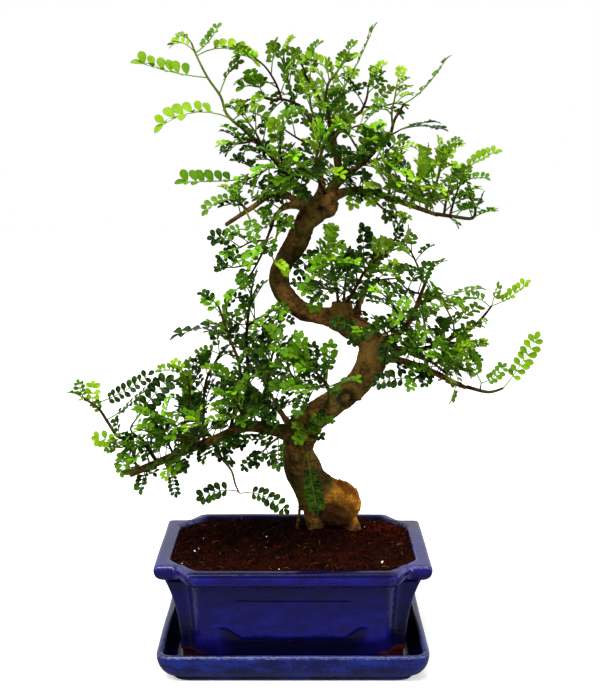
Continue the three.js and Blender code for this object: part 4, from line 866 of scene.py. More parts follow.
def tube(line, sides, bumps=0.0, points=None, faces=None):
    """A closed round skin along a line of (x, y, z, radius)."""
    points = [] if points is None else points
    faces = [] if faces is None else faces
    start = len(points)
    across = Vector((0, 1, 0.01))
    for i, here in enumerate(line):
        ahead = line[min(i + 1, len(line) - 1)] - line[max(i - 1, 0)]
        along = ahead.to_3d().normalized()
        across = (across - along * across.dot(along)).normalized()
        up = along.cross(across)
        for j in range(sides):
            angle = j / sides * 2 * math.pi
            lump = math.sin(3 * angle + i * 0.3) + math.sin(2 * angle - i * 0.57)
            reach = here[3] * (1 + bumps * lump / 2)
            points.append(here.to_3d() + (across * math.cos(angle) + up * math.sin(angle)) * reach)
    for i in range(len(line) - 1):
        for j in range(sides):
            a = start + i * sides + j
            b = start + i * sides + (j + 1) % sides
            faces.append((a, b, b + sides, a + sides))
    last = start + (len(line) - 1) * sides
    faces.append(tuple(range(start, start + sides))[::-1])
    faces.append(tuple(range(last, last + sides)))
    return points, faces


wood_points, wood_faces = [], []
tube(flowing_line(TRUNK, 4), 28, 0.07, wood_points, wood_faces)
for line in BRANCHES:
    tube(flowing_line(line, 5), 14, 0.04, wood_points, wood_faces)
for line in ROOTS:
    tube(flowing_line(line, 5), 16, 0.08, wood_points, wood_faces)
BURL_TURNS = 28
burl_rings = []
for level in range(1, 18):
    tilt = math.pi * level / 18 - math.pi / 2
    burl_rings.append([BURL_CENTRE + Vector((
        BURL_RADII[0] * math.cos(tilt) * math.cos(k / BURL_TURNS * 2 * math.pi),
        BURL_RADII[1] * math.cos(tilt) * math.sin(k / BURL_TURNS * 2 * math.pi),
        BURL_RADII[2] * math.sin(tilt),
    )) for k in range(BURL_TURNS)])
burl_points, burl_faces = loft(burl_rings)
offset = len(wood_points)
wood_points += burl_points
wood_faces += [tuple(offset + i for i in face) for face in burl_faces]

VOXEL = 0.0008
wood = make_piece("living_wood", wood_points, wood_faces, [])
fuse = wood.modifiers.new("fuse", "REMESH")
fuse.mode = "VOXEL"
fuse.voxel_size = VOXEL
soften = wood.modifiers.new("soften", "SMOOTH")
soften.factor = 0.5
soften.iterations = 3
keep_shape(wood)


def burl_share(p):
    """1 on the root swelling, fading to 0 on the trunk beside it."""
    away = Vector((p - BURL_CENTRE)[i] / BURL_RADII[i] for i in range(3)).length
    return min(1, max(0, (1.32 - away) / 0.22))


# Painted shade: the bark is painted darker and a little greener at some heights. Each is (height, spread,
# share)
BARK_SHADE_BANDS = [(128, 26, 1.0), (171, 14, 0.4), (224, 16, 0.3), (301, 14, 0.7), (392, 38, 1.2)]
# The trunk lies between these sides and under this height, and the branches outside are smoother
STEM_X = (-14, 76)
STEM_Y = (-16, 40)
STEM_TOP = 345
BRANCH_ROUGHNESS = 0.3
wood_looks = []
normals = [vertex.normal.copy() for vertex in wood.data.vertices]
for vertex, normal in zip(wood.data.vertices, normals):
    p = vertex.co * 1000
    on_stem = p.z < STEM_TOP and STEM_X[0] < p.x < STEM_X[1] and STEM_Y[0] < p.y < STEM_Y[1]
    stem_size = 1 if on_stem else BRANCH_ROUGHNESS
    knobby = burl_share(p)
    push = 0.75 * noise.fractal(p / 9, 0.9, 2.0, 3) * stem_size
    wrinkle = noise.noise(Vector((p.x * 0.16, p.y * 0.16, p.z * 0.75)))
    push += (0.3 * wrinkle + 0.22 * noise.noise(p / 1.7)) * stem_size
    near, _ = noise.voronoi(p / 3.1)
    crack = min(1, (near[1] - near[0]) / 0.3)
    push += knobby * (0.7 * crack - 0.7 + 1.5 * noise.noise(p / 5.5))
    bark_shade = max(share * math.exp(-((p.z - at) / spread) ** 2) for at, spread, share in BARK_SHADE_BANDS)
    # Painted shade: the bark in the scars' dents is darkened towards black
    pit_shade = 0
    for place, reach, depth in SCARS:
        away = (p - Vector(place)).length / reach
        if away < 1.6:
            press = math.exp(-(away * 1.3) ** 2)
            push -= depth * press
            pit_shade = max(pit_shade, press if depth > 0 else 0)
    vertex.co += normal * push / 1000
    wood_looks += [knobby, bark_shade, pit_shade, 1.0]
wood.data.attributes.new("bark_marks", "FLOAT_COLOR", "POINT").data.foreach_set("color", wood_looks)
wood.data.update()

bark, bark_in, bark_out = begin_group(
    "fissured_bark",
    {"Light": COLOR, "Dark": COLOR, "Lichen": COLOR, "Lichen Amount": NUMBER},
    {"Color": COLOR, "Cracks": NUMBER, "Height": NUMBER},
)
bark_place = object_place(bark)
squeezed = scaled_place(bark, bark_place, (1.0, 1.0, 1.2))
patches = noise_mask(bark, bark_place, 70.0, 5.0)
fissures = noise_mask(bark, squeezed, 330.0, 5.0)
cork_dots = add_node(bark, "ShaderNodeTexVoronoi", {"Vector": squeezed, "Scale": 260.0}).outputs["Distance"]
dots = band(bark, cork_dots, 0.12, 0.2, 1.0, 0.0)
moss = noise_mask(bark, bark_place, 28.0, 3.0)
grain = math_node(bark, "ADD", times(bark, patches, 0.55), times(bark, fissures, 0.45))
bark_color = mix_colors(bark, band(bark, grain, 0.38, 0.62), bark_in["Dark"], bark_in["Light"])
dotted = mix_colors(bark, times(bark, dots, 0.35), bark_color, (0.24, 0.15, 0.06, 1))
mossy = times(bark, band(bark, moss, 0.5, 0.62), bark_in["Lichen Amount"])
bark.links.new(mix_colors(bark, mossy, dotted, bark_in["Lichen"]), bark_out["Color"])
bark.links.new(math_node(bark, "ADD", fissures, times(bark, dots, 0.3)), bark_out["Height"])
cell_place = mix_colors(bark, 0.004, bark_place, add_node(bark, "ShaderNodeTexNoise", {
    "Vector": bark_place,
    "Scale": 300.0,
}).outputs["Color"])
cell_edges = add_node(bark, "ShaderNodeTexVoronoi", {"Vector": cell_place, "Scale": 360.0},
                      feature="DISTANCE_TO_EDGE").outputs["Distance"]
bark.links.new(band(bark, cell_edges, 0.02, 0.2, 1.0, 0.0), bark_out["Cracks"])

living_bark, wood_tree, wood_shader = new_material("living_bark", Roughness=0.78, Specular_IOR_Level=0.05)
marks = add_node(wood_tree, "ShaderNodeSeparateColor", {
    "Color": add_node(wood_tree, "ShaderNodeAttribute", attribute_name="bark_marks").outputs["Color"],
})
bark_coat = add_node(wood_tree, "ShaderNodeGroup", {
    "Light": (0.2, 0.105, 0.024, 1),
    "Dark": (0.03, 0.012, 0.0025, 1),
    "Lichen": (0.03, 0.042, 0.004, 1),
    "Lichen Amount": 0.45,
}, node_tree=bark)
# The bands of painted shade darken the bark here
bark_shaded = mix_colors(wood_tree, times(wood_tree, marks.outputs["Green"], 0.62), bark_coat.outputs["Color"],
                      (0.012, 0.014, 0.0015, 1))
wood_place = object_place(wood_tree)
tan_share = band(wood_tree, noise_mask(wood_tree, wood_place, 95.0, 4.0), 0.4, 0.68)
tan_patches = mix_colors(wood_tree, tan_share, (0.16, 0.045, 0.003, 1), (0.58, 0.26, 0.022, 1))
# Painted shade: the root swelling is painted dark at its lower front left, underneath
BURL_SHADE_AT = (0.03, 0.006, 0.095)
burl_shade_away = add_node(wood_tree, "ShaderNodeVectorMath", {0: wood_place, 1: BURL_SHADE_AT},
                       operation="DISTANCE").outputs["Value"]
burl_shade_share = band(wood_tree, burl_shade_away, 0.023, 0.013, 0.0, 0.94)
burl_color_and_shade = mix_colors(wood_tree, burl_shade_share, tan_patches, (0.02, 0.006, 0.002, 1))
burl_tan = mix_colors(wood_tree, times(wood_tree, marks.outputs["Red"], 0.88), bark_shaded, burl_color_and_shade)
crack_share = times(wood_tree, marks.outputs["Red"], bark_coat.outputs["Cracks"])
cracked = mix_colors(wood_tree, times(wood_tree, crack_share, 0.5), burl_tan, (0.05, 0.015, 0.003, 1))
# Painted shade in the scars' dents
pit_shaded = mix_colors(wood_tree, marks.outputs["Blue"], cracked, (0.008, 0.004, 0.002, 1))
wood_tree.links.new(pit_shaded, wood_shader.inputs["Base Color"])
add_relief(wood_tree, wood_shader, bark_coat.outputs["Height"], 0.6)
wood.data.materials.clear()
wood.data.materials.append(living_bark)
wood.data.shade_smooth()
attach(wood, "root")
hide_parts("trunk")


# Leafy sprays.
# Each spray is a thin twig with its side twigs and their compound leaves: a slim green leaf stalk with
# pairs of small glossy rounded leaflets and one at its tip. Old growth is dark green, new growth lime.
# Twigs grow from the wood's bark, and short leafy spurs sit on the branches between them.
DARK = "dark_leaf"
LIME = "lime_leaf"
# How a placed leaf is held: where its upper side faces, and how far its leaflets fold up
RAISED = ((0, -0.7, 1), 0.7)
OPEN = ((0, -1, 0.3), 0.2)
LEVEL = ((0, -0.1, 1), 0.2)
EDGEWAYS = ((-1, 0, 0.2), 0.2)
# Twigs and leaf tips are noted where the photo shows them, as [column, row, depth]: its pixels, and
# millimetres behind the middle of the pot. seen_at gives their places.
# Each twig is (leaf kind, radius, leaves by rule, leaf length, spots along it, leaves placed one by one).
# A placed leaf is [place along the twig, tip column, row, depth, arch, pairs of leaflets, how held]
SPRAYS = [
    ("top_left_shoot", [
        (LIME, 1.3, 0, 34, [
            [240, 126, -10], [226, 113, -12], [220, 96, -12], [207, 77, -12], [197, 57, -14],
            [192, 42, -14]
        ], [
            [0.6, 132, 60, -22, -2, 6, RAISED], [0.12, 152, 132, -26, 9, 6, RAISED],
            [0.86, 222, 21, -10, -3, 6, RAISED], [0.82, 262, 68, -2, 9, 6, RAISED],
            [0.42, 241, 62, 4, 6, 5, EDGEWAYS], [0.86, 169, 48, -2, 5, 4, RAISED],
            [1, 176, 38, -24, 3, 4, RAISED], [0.1, 276, 134, -22, 10, 5, RAISED]
        ]),
    ]),
    ("crown_left", [
        (DARK, 1.2, 3, 34, [
            [300, 106, 4], [285, 99, 2], [271, 100, 0], [259, 97, -6], [246, 101, -10]
        ], [
            [1, 238, 119, -16, 4, 4, RAISED], [0.5, 251, 112, -26, 6, 6, RAISED]
        ]),
        (DARK, 1.0, 4, 34, [
            [282, 99, 2], [276, 84, -4], [266, 68, -8], [255, 58, -10]
        ], [
            [0.35, 236, 90, -16, 2, 4, RAISED]
        ]),
        (DARK, 1.1, 5, 28, [
            [296, 105, 4], [290, 92, 20], [286, 74, 28], [284, 56, 32]
        ], [
            [1, 294, 38, 30, 3, 5, RAISED]
        ]),
    ]),
    ("crown_front_left", [
        (LIME, 1.2, 4, 36, [
            [320, 127, 4], [312, 110, -14], [310, 96, -26]
        ], []),
    ]),
    ("crown_top_front", [
        (LIME, 1.2, 5, 24, [
            [325, 98, -2], [328, 84, -14], [337, 72, -20], [343, 62, -22]
        ], [
            [1, 357, 42, -24, 2, 4, RAISED]
        ]),
    ]),
    ("crown_top_left", [
        (DARK, 1.2, 4, 26, [
            [327, 110, 0], [314, 90, 8], [306, 74, 12], [301, 62, 12]
        ], [
            [0.9, 322, 42, 8, 2, 5, RAISED]
        ]),
    ]),
    ("crown_top_tall", [
        (LIME, 1.2, 3, 26, [
            [330, 122, 3], [340, 100, 10], [346, 84, 12]
        ], [
            [0.95, 377, 21, 18, -2, 7, EDGEWAYS], [0.9, 297, 64, 0, 8, 6, RAISED]
        ]),
    ]),
    ("crown_back", [
        (DARK, 1.5, 4, 36, [
            [318, 164, 40], [324, 144, 52], [322, 122, 58], [318, 104, 62]
        ], []),
        (DARK, 1.2, 3, 36, [
            [322, 150, 49], [300, 140, 58], [282, 128, 64]
        ], []),
        (DARK, 1.2, 3, 30, [
            [324, 140, 53], [344, 130, 62], [364, 124, 68]
        ], []),
    ]),
    ("crown_right", [
        (DARK, 1.2, 3, 26, [
            [361, 112, 12], [366, 98, 8], [369, 84, 4]
        ], [
            [1, 387, 62, 4, 2, 5, RAISED]
        ]),
        (DARK, 1.0, 3, 24, [
            [363, 107, 11], [378, 107, 14], [396, 103, 14]
        ], []),
    ]),
    ("right_shoot", [
        (LIME, 1.5, 0, 32, [
            [378, 147, -20], [389, 135, -20], [394, 121, -20], [400, 111, -20], [405, 103, -22]
        ], [
            [1, 450, 52, -26, -5, 7, EDGEWAYS]
        ]),
        (LIME, 0.9, 3, 20, [
            [392, 127, -20], [392, 112, -26], [395, 96, -28], [397, 84, -28]
        ], [
            [0.3, 371, 114, -36, 3, 4, RAISED]
        ]),
        (DARK, 0.9, 0, 32, [
            [387, 137, -20], [396, 132, -24], [401, 130, -26]
        ], [
            [0.9, 441, 123, -16, 2, 7, LEVEL], [1, 448, 131, -40, 3, 7, LEVEL]
        ]),
    ]),
    ("right_inner", [
        (DARK, 1.2, 5, 30, [
            [366, 159, -18], [358, 148, -32], [350, 136, -40]
        ], []),
        (DARK, 1.1, 4, 30, [
            [364, 156, -22], [362, 149, 0], [367, 141, 20]
        ], []),
    ]),
    ("left_upper", [
        (DARK, 1.2, 3, 26, [
            [256, 140, -8], [246, 142, -18], [238, 144, -22]
        ], [
            [1, 219, 156, -26, 3, 4, LEVEL], [0.7, 220, 131, -14, 2, 4, LEVEL]
        ]),
    ]),
    ("left_upper_back", [
        (DARK, 1.2, 4, 34, [
            [264, 149, -6], [256, 134, 14], [248, 122, 24]
        ], []),
    ]),
    ("left_mid", [
        (DARK, 1.2, 4, 28, [
            [276, 162, -2], [262, 172, -10], [248, 180, -14]
        ], [
            [0.95, 175, 181, -22, -1, 6, RAISED], [0.6, 231, 160, -20, 2, 5, RAISED]
        ]),
    ]),
    ("left_front", [
        (DARK, 1.3, 5, 32, [
            [291, 179, 4], [284, 168, -20], [280, 150, -34], [281, 134, -40]
        ], []),
    ]),
    ("left_front_low", [
        (LIME, 1.2, 5, 34, [
            [303, 193, 6], [294, 182, -20], [288, 174, -34]
        ], []),
    ]),
    ("collar_front", [
        (DARK, 1.4, 6, 34, [
            [326, 197, 5], [318, 180, -22], [316, 160, -36], [320, 142, -42]
        ], []),
    ]),
    ("left_low_shoot", [
        (DARK, 1.1, 3, 22, [
            [246, 210, -20], [240, 203, -26], [234, 198, -28]
        ], [
            [0.6, 200, 218, -30, 6, 5, RAISED]
        ]),
        (LIME, 0.9, 0, 30, [
            [243, 207, -23], [250, 220, -30], [247, 231, -30]
        ], [
            [0.3, 256, 246, -34, 3, 4, OPEN], [1, 219, 247, -34, 5, 5, OPEN]
        ]),
    ]),
    ("left_hanging", [
        (DARK, 1.3, 4, 28, [
            [272, 226, -17], [266, 240, -20], [262, 254, -22], [252, 272, -24], [240, 288, -26]
        ], []),
        (DARK, 1.0, 3, 26, [
            [266, 240, -20], [252, 242, -28], [240, 248, -32]
        ], [
            [1, 207, 240, -34, 4, 4, OPEN], [0.8, 217, 263, -32, 2, 5, OPEN]
        ]),
        (DARK, 1.0, 3, 26, [
            [257, 264, -23], [244, 266, -30], [234, 268, -32]
        ], [
            [1, 213, 272, -34, 3, 5, OPEN]
        ]),
    ]),
    ("left_hanging_right", [
        (LIME, 1.1, 3, 24, [
            [277, 213, -13], [277, 232, -24], [272, 252, -32], [276, 264, -36]
        ], [
            [0.45, 292, 221, -30, 2, 5, RAISED]
        ]),
    ]),
    ("stub_left", [
        (DARK, 1.4, 4, 28, [
            [338, 304, 0], [337, 292, -3], [334, 276, -8], [329, 254, -12], [331, 241, -12]
        ], [
            [0.75, 293, 277, -22, 5, 5, OPEN]
        ]),
        (LIME, 1.0, 5, 32, [
            [335, 281, -6], [334, 268, -22], [328, 258, -32]
        ], []),
        (LIME, 1.0, 4, 32, [
            [337, 292, -3], [323, 288, -14], [313, 287, -22]
        ], []),
    ]),
    ("stub_right", [
        (DARK, 1.5, 6, 30, [
            [347, 304, 0], [358, 284, -4], [367, 270, -8], [384, 252, -10], [396, 238, -12]
        ], [
            [0.45, 362, 226, -16, 4, 5, RAISED]
        ]),
    ]),
    ("stub_back", [
        (DARK, 1.3, 5, 34, [
            [343, 304, 4], [346, 282, 24], [349, 264, 36]
        ], []),
    ]),
    ("mid_back", [
        (DARK, 1.5, 4, 30, [
            [366, 288, 44], [370, 276, 58], [373, 266, 64], [375, 256, 68]
        ], []),
        (DARK, 1.2, 3, 32, [
            [367, 283, 50], [384, 280, 60], [398, 278, 66]
        ], []),
    ]),
    ("right_upright", [
        (DARK, 1.6, 0, 34, [
            [418, 302, -14], [427, 280, -14], [434, 261, -14]
        ], []),
        (DARK, 1.0, 5, 24, [
            [425, 285, -14], [417, 266, -18], [411, 252, -20], [404, 244, -24]
        ], []),
        (DARK, 1.0, 4, 34, [
            [421, 294, -14], [408, 290, -22], [398, 280, -28]
        ], []),
        (LIME, 1.0, 2, 32, [
            [420, 297, -14], [432, 298, -20], [441, 299, -22]
        ], [
            [1, 487, 289, -24, 2, 5, LEVEL], [0.8, 465, 307, -32, 3, 4, LEVEL]
        ]),
    ]),
    ("right_up_front", [
        (DARK, 1.3, 6, 34, [
            [404, 327, -8], [396, 312, -26], [386, 298, -36]
        ], []),
        (DARK, 1.0, 4, 26, [
            [400, 320, -17], [392, 330, -27], [380, 334, -31], [364, 330, -32]
        ], [
            [1, 330, 321, -34, 1, 5, OPEN], [0.75, 346, 346, -36, 3, 4, OPEN],
            [0.3, 386, 366, -36, 2, 4, OPEN]
        ]),
    ]),
    ("right_mid_tip", [
        (LIME, 1.5, 1, 30, [
            [450, 338, 18], [470, 330, 18], [484, 316, 18], [492, 306, 18]
        ], [
            [1, 531, 279, 14, -3, 6, RAISED], [0.95, 463, 299, 10, 4, 4, RAISED],
            [0.6, 487, 324, 8, 1, 4, RAISED]
        ]),
        (LIME, 1.0, 4, 32, [
            [453, 337, 18], [453, 324, 10], [450, 314, 4]
        ], []),
    ]),
    ("right_mid_low", [
        (DARK, 1.3, 7, 30, [
            [422, 349, 15], [438, 345, 4], [456, 343, 0], [466, 348, -2]
        ], [
            [1, 489, 345, -4, 3, 5, OPEN], [1, 481, 366, -8, 2, 4, OPEN]
        ]),
        (DARK, 1.1, 6, 38, [
            [433, 347, 8], [426, 334, 30], [424, 318, 44]
        ], []),
    ]),
    ("right_low_tip", [
        (LIME, 1.6, 0, 32, [
            [466, 387, -10], [488, 392, -10], [503, 388, -10]
        ], [
            [1, 539, 331, -12, -3, 7, OPEN]
        ]),
        (LIME, 0.8, 0, 30, [
            [480, 390, -10], [481, 386, -13], [481, 383, -14]
        ], [
            [0.9, 507, 362, -18, -3, 5, OPEN], [1, 468, 346, -18, -2, 5, OPEN]
        ]),
    ]),
    ("right_low_mid", [
        (DARK, 1.2, 1, 32, [
            [421, 367, -5], [419, 377, -14], [413, 378, -20]
        ], [
            [1, 370, 385, -34, 2, 5, OPEN]
        ]),
    ]),
    ("right_low_inner", [
        (LIME, 1.1, 5, 28, [
            [446, 378, -8], [449, 368, -16], [452, 360, -20]
        ], []),
        (DARK, 1.1, 6, 28, [
            [447, 374, -12], [434, 364, -22], [420, 356, -26], [408, 344, -28]
        ], []),
        (DARK, 1.0, 5, 36, [
            [448, 372, -13], [452, 362, 8], [456, 354, 24]
        ], []),
    ]),
    ("pad_right_front", [
        (LIME, 1.3, 6, 36, [
            [388, 197, -14], [390, 186, -26], [388, 172, -34]
        ], []),
    ]),
    ("pad_right_front_low", [
        (LIME, 1.3, 6, 36, [
            [410, 205, -18], [416, 190, -34], [420, 176, -42]
        ], []),
    ]),
    ("pad_right_crown", [
        (LIME, 1.3, 6, 28, [
            [426, 211, -20], [434, 192, -24], [440, 172, -26], [442, 158, -26]
        ], [
            [1, 462, 141, -28, 4, 5, RAISED]
        ]),
    ]),
    ("pad_right_tip", [
        (DARK, 1.6, 4, 22, [
            [436, 214, -21], [455, 217, -22], [472, 218, -22], [475, 209, -22], [470, 197, -22]
        ], [
            [0.75, 485, 189, -26, -2, 5, LEVEL], [0.9, 482, 204, -34, 2, 4, LEVEL]
        ]),
        (DARK, 1.1, 4, 26, [
            [450, 217, -22], [454, 200, -22], [460, 184, -22]
        ], [
            [1, 491, 180, -24, 3, 5, RAISED]
        ]),
        (DARK, 1.1, 4, 28, [
            [444, 216, -21], [446, 198, 0], [450, 182, 12]
        ], [
            [1, 501, 150, 16, 3, 7, RAISED]
        ]),
    ]),
    ("pad_right_back", [
        (DARK, 1.3, 5, 34, [
            [402, 203, -14], [412, 188, 12], [420, 172, 26]
        ], []),
    ]),
    ("pad_right_under", [
        (DARK, 1.2, 3, 22, [
            [366, 190, -12], [376, 203, -20], [386, 211, -24], [392, 214, -26]
        ], []),
    ]),
    ("pad_right_upper", [
        (DARK, 1.2, 4, 36, [
            [358, 167, -15], [376, 160, -26], [390, 156, -30]
        ], [
            [1, 424, 156, -34, 7, 6, RAISED]
        ]),
    ]),
    ("far_left", [
        (DARK, 1.6, 4, 22, [
            [158, 462, -22], [147, 447, -22], [137, 436, -24], [120, 438, -24], [108, 423, -24],
            [99, 408, -24], [84, 398, -24]
        ], [
            [0.9, 154, 371, -26, -3, 8, OPEN], [0.7, 154, 379, -34, -3, 8, EDGEWAYS],
            [1, 77, 378, -28, -2, 4, OPEN], [0.9, 93, 379, -20, -2, 3, OPEN]
        ]),
        (LIME, 1.0, 3, 18, [
            [128, 437, -24], [126, 445, -31], [119, 448, -34]
        ], [
            [1, 92, 440, -38, 3, 3, OPEN], [0.9, 104, 452, -38, 2, 3, OPEN],
            [0.5, 122, 478, -40, 1, 4, OPEN]
        ]),
        (DARK, 1.0, 3, 26, [
            [139, 438, -24], [130, 430, -32], [136, 418, -36]
        ], [
            [1, 172, 377, -40, 2, 5, OPEN]
        ]),
    ]),
    ("far_left_low", [
        (DARK, 1.3, 5, 22, [
            [140, 470, -22], [134, 460, -30], [136, 448, -34]
        ], []),
    ]),
    ("low_pad_rise_left", [
        (LIME, 1.5, 6, 28, [
            [186, 451, -20], [184, 424, -20], [190, 396, -20], [187, 376, -20]
        ], [
            [1, 156, 372, -26, 3, 5, RAISED]
        ]),
    ]),
    ("low_pad_rise_mid", [
        (DARK, 1.5, 6, 34, [
            [204, 444, -19], [204, 415, -10], [206, 380, -6], [220, 354, -4]
        ], [
            [0.85, 184, 366, -8, 2, 5, OPEN], [1, 194, 358, 2, 4, 4, RAISED]
        ]),
        (DARK, 1.2, 6, 34, [
            [204, 430, -15], [197, 422, 8], [190, 412, 24]
        ], []),
    ]),
    ("low_pad_tall", [
        (DARK, 1.8, 7, 32, [
            [242, 427, -13], [246, 405, -6], [249, 383, -4], [246, 335, -6], [251, 300, -8],
            [252, 288, -8]
        ], [
            [0.66, 169, 338, -20, 3, 6, LEVEL]
        ]),
        (DARK, 1.0, 5, 28, [
            [248, 325, -7], [262, 316, -16], [276, 318, -20]
        ], []),
    ]),
    ("low_pad_tall_left", [
        (DARK, 1.6, 6, 32, [
            [230, 430, -16], [240, 373, -26], [230, 340, -28], [218, 306, -28]
        ], [
            [0.9, 243, 298, -30, 5, 4, RAISED]
        ]),
    ]),
    ("low_pad_inner", [
        (DARK, 1.5, 7, 36, [
            [262, 428, -12], [264, 400, -12], [268, 375, -14], [274, 348, -14]
        ], []),
    ]),
    ("low_pad_front_left", [
        (LIME, 1.3, 5, 26, [
            [214, 440, -18], [206, 430, -34], [198, 422, -44]
        ], []),
        (DARK, 1.1, 7, 28, [
            [210, 435, -27], [192, 438, -38], [176, 440, -42], [160, 436, -44]
        ], []),
    ]),
    ("low_pad_front", [
        (DARK, 1.3, 7, 38, [
            [250, 428, -14], [242, 414, -36], [234, 398, -48]
        ], []),
    ]),
    ("low_pad_under", [
        (DARK, 1.1, 1, 30, [
            [180, 453, -20], [172, 460, -30], [169, 466, -34]
        ], [
            [0.9, 176, 499, -40, 1, 6, OPEN]
        ]),
        (DARK, 1.1, 6, 36, [
            [175, 457, -27], [168, 442, -36], [161, 425, -42]
        ], []),
    ]),
    ("low_drop", [
        (DARK, 1.2, 0, 34, [
            [214, 441, -18], [222, 458, -24], [231, 470, -26], [235, 484, -28], [239, 493, -30]
        ], [
            [0.95, 195, 501, -30, 4, 5, OPEN], [1, 291, 515, -32, 6, 7, OPEN]
        ]),
    ]),
    ("low_back", [
        (DARK, 1.5, 5, 40, [
            [278, 408, 46], [268, 390, 60], [258, 370, 66], [252, 350, 70]
        ], []),
        (DARK, 1.2, 4, 40, [
            [276, 404, 49], [254, 398, 60], [232, 392, 66]
        ], []),
    ]),
    ("low_front", [
        (DARK, 1.3, 6, 36, [
            [329, 399, -27], [327, 385, -42], [316, 372, -48], [304, 362, -50]
        ], []),
        (DARK, 1.2, 6, 36, [
            [327, 385, -42], [306, 388, -40], [290, 372, -38], [286, 350, -36]
        ], []),
    ]),
    ("trunk_front_leaf", [
        (DARK, 1.1, 0, 28, [
            [304, 440, -4], [305, 447, -18], [307, 452, -22]
        ], [
            [1, 318, 513, -30, -2, 7, OPEN]
        ]),
    ]),
    ("trunk_front_lime", [
        (LIME, 1.0, 6, 18, [
            [306, 434, -5], [310, 430, -19], [321, 421, -21]
        ], [
            [0.4, 295, 446, -24, 2, 3, OPEN]
        ]),
    ]),
    ("trunk_left_low", [
        (DARK, 1.1, 3, 32, [
            [284, 434, -8], [272, 442, -20], [264, 450, -24]
        ], [
            [1, 241, 471, -28, 1, 5, OPEN], [0.9, 273, 468, -34, 1, 4, OPEN]
        ]),
    ]),
]
UP = Vector((0, 0, 1))
GOLDEN_ANGLE = 2.4
TREE_AXIS = (12, 0)
PAIR_SPACING = 5.8
RULE_FOLD = 0.42
# A leaflet's length as a share of the way from one pair to the next, shorter on leaves with many pairs
SWELL = 1.45
CROWDED_SWELL = 1.2
CROWDED_PAIRS = 8


def seen_at(column, row, depth):
    """The place in millimetres that the camera sees at a column and row of the photo, at a depth."""
    tilt = math.radians(LOOK_DOWN)
    camera_x, camera_y, camera_z = (1000 * place for place in CAMERA_AT)
    across = (column - IMAGE_MIDDLE[0]) / FOCAL_PIXELS
    up = (IMAGE_MIDDLE[1] - row) / FOCAL_PIXELS
    reach = (depth - camera_y) / (math.cos(tilt) + up * math.sin(tilt))
    rise = reach * (up * math.cos(tilt) - math.sin(tilt))
    return [round(camera_x + across * reach), depth, round(camera_z + rise)]


def point_on_line(line, t):
    k = min(int(t * (len(line) - 1)), len(line) - 2)
    blend = t * (len(line) - 1) - k
    start, end = Vector(line[k]), Vector(line[k + 1])
    return start.lerp(end, blend), (end - start).normalized()


def outward(point):
    """Away from the tree's middle, which is where leaves lean and face. Sideways counts half."""
    away = Vector(((point.x - TREE_AXIS[0]) * 0.5, point.y - TREE_AXIS[1], 0))
    return away.normalized() if away.length > 1 else Vector((0, -1, 0))


# Light in the tree grows by these thousandths a millimetre to each side, upwards and forwards
LIGHT_GAIN = {"right": 10.5, "left": 6, "up": 5, "forward": 6}
SHADED_BELOW = 286
LIGHT_RANGE = (0.45, 1.85)


def sunlit(point):
    """How much light reaches a place in the tree: least low down and behind, most far out and high up."""
    aside = point.x - TREE_AXIS[0]
    gain = abs(aside) * LIGHT_GAIN["right" if aside > 0 else "left"]
    gain += (point.z - SHADED_BELOW) * LIGHT_GAIN["up"] - point.y * LIGHT_GAIN["forward"]
    return between(*LIGHT_RANGE, min(1, max(0, gain / 1000)))


def rule_leaves(count, leaf_length, line, draw, spiral=0.0, reach=(0.25, 1.0)):
    """Leaves alternate round the twig, spread less and grow shorter towards its tip, and lean outward."""
    leaves = []
    for k in range(count):
        turn, spread, stretch, bow, face = (draw() for _ in range(5))
        t = reach[1] if count == 1 else between(*reach, k / (count - 1))
        at, along = point_on_line(line, t)
        across = along.cross(Vector((0.3, 1, 0.2))).normalized()
        across.rotate(Quaternion(along, k * GOLDEN_ANGLE + turn * 0.9 + spiral))
        angle = 1.15 - 0.6 * t + (spread - 0.5) * 0.4
        aim = (along * math.cos(angle) + across * math.sin(angle) + outward(at) * 0.25).normalized()
        length = leaf_length * (0.7 + 0.3 * stretch) * (1.2 - 0.5 * t)
        leaves.append({
            "base": at,
            "tip": at + aim * length,
            "arch": length * (0.04 + 0.12 * bow),
            "pairs": max(3, round(length / PAIR_SPACING)),
            "facing": outward(at) * (0.35 + 0.5 * face) + UP,
            "fold": RULE_FOLD,
            "age": t,
            "light": (0.35 + 0.6 * t) * sunlit(at),
        })
    return leaves


# A placed leaf that is raised or stands far out is young, and likely to be lime
YOUNG = 1.2
FAR_OUT = 138


def placed_leaves(line, placed):
    leaves = []
    for t, column, row, depth, arch, pairs, (facing, fold) in placed:
        base, _ = point_on_line(line, t)
        tip = Vector(seen_at(column, row, depth))
        young = fold > 0.5 or abs(tip.x) > FAR_OUT
        leaves.append({
            "base": base,
            "tip": tip,
            "arch": arch,
            "pairs": pairs,
            "facing": Vector(facing),
            "fold": fold,
            "age": YOUNG if young else None,
            # Other placed leaves get no light: they are painted in the shade colour
            "light": 0.45 * sunlit(base) if young else 0.0,
        })
    return leaves


# Each row of spurs is (branch, first and last share of its length, count, leaf length)
SPURS = [
    (1, 0.12, 0.95, 60, 20), (2, 0.25, 0.9, 22, 17), (3, 0.2, 0.95, 18, 18), (4, 0.2, 1.0, 16, 18),
    (6, 0.2, 0.9, 14, 17), (7, 0.3, 1.0, 8, 16), (8, 0.2, 0.9, 18, 18), (9, 0.25, 0.9, 20, 18),
    (12, 0.3, 1.0, 14, 18), (13, 0.25, 0.97, 26, 18), (14, 0.3, 1.0, 8, 20), (15, 0.3, 1.0, 8, 20),
    (16, 0.3, 1.0, 8, 20),
]


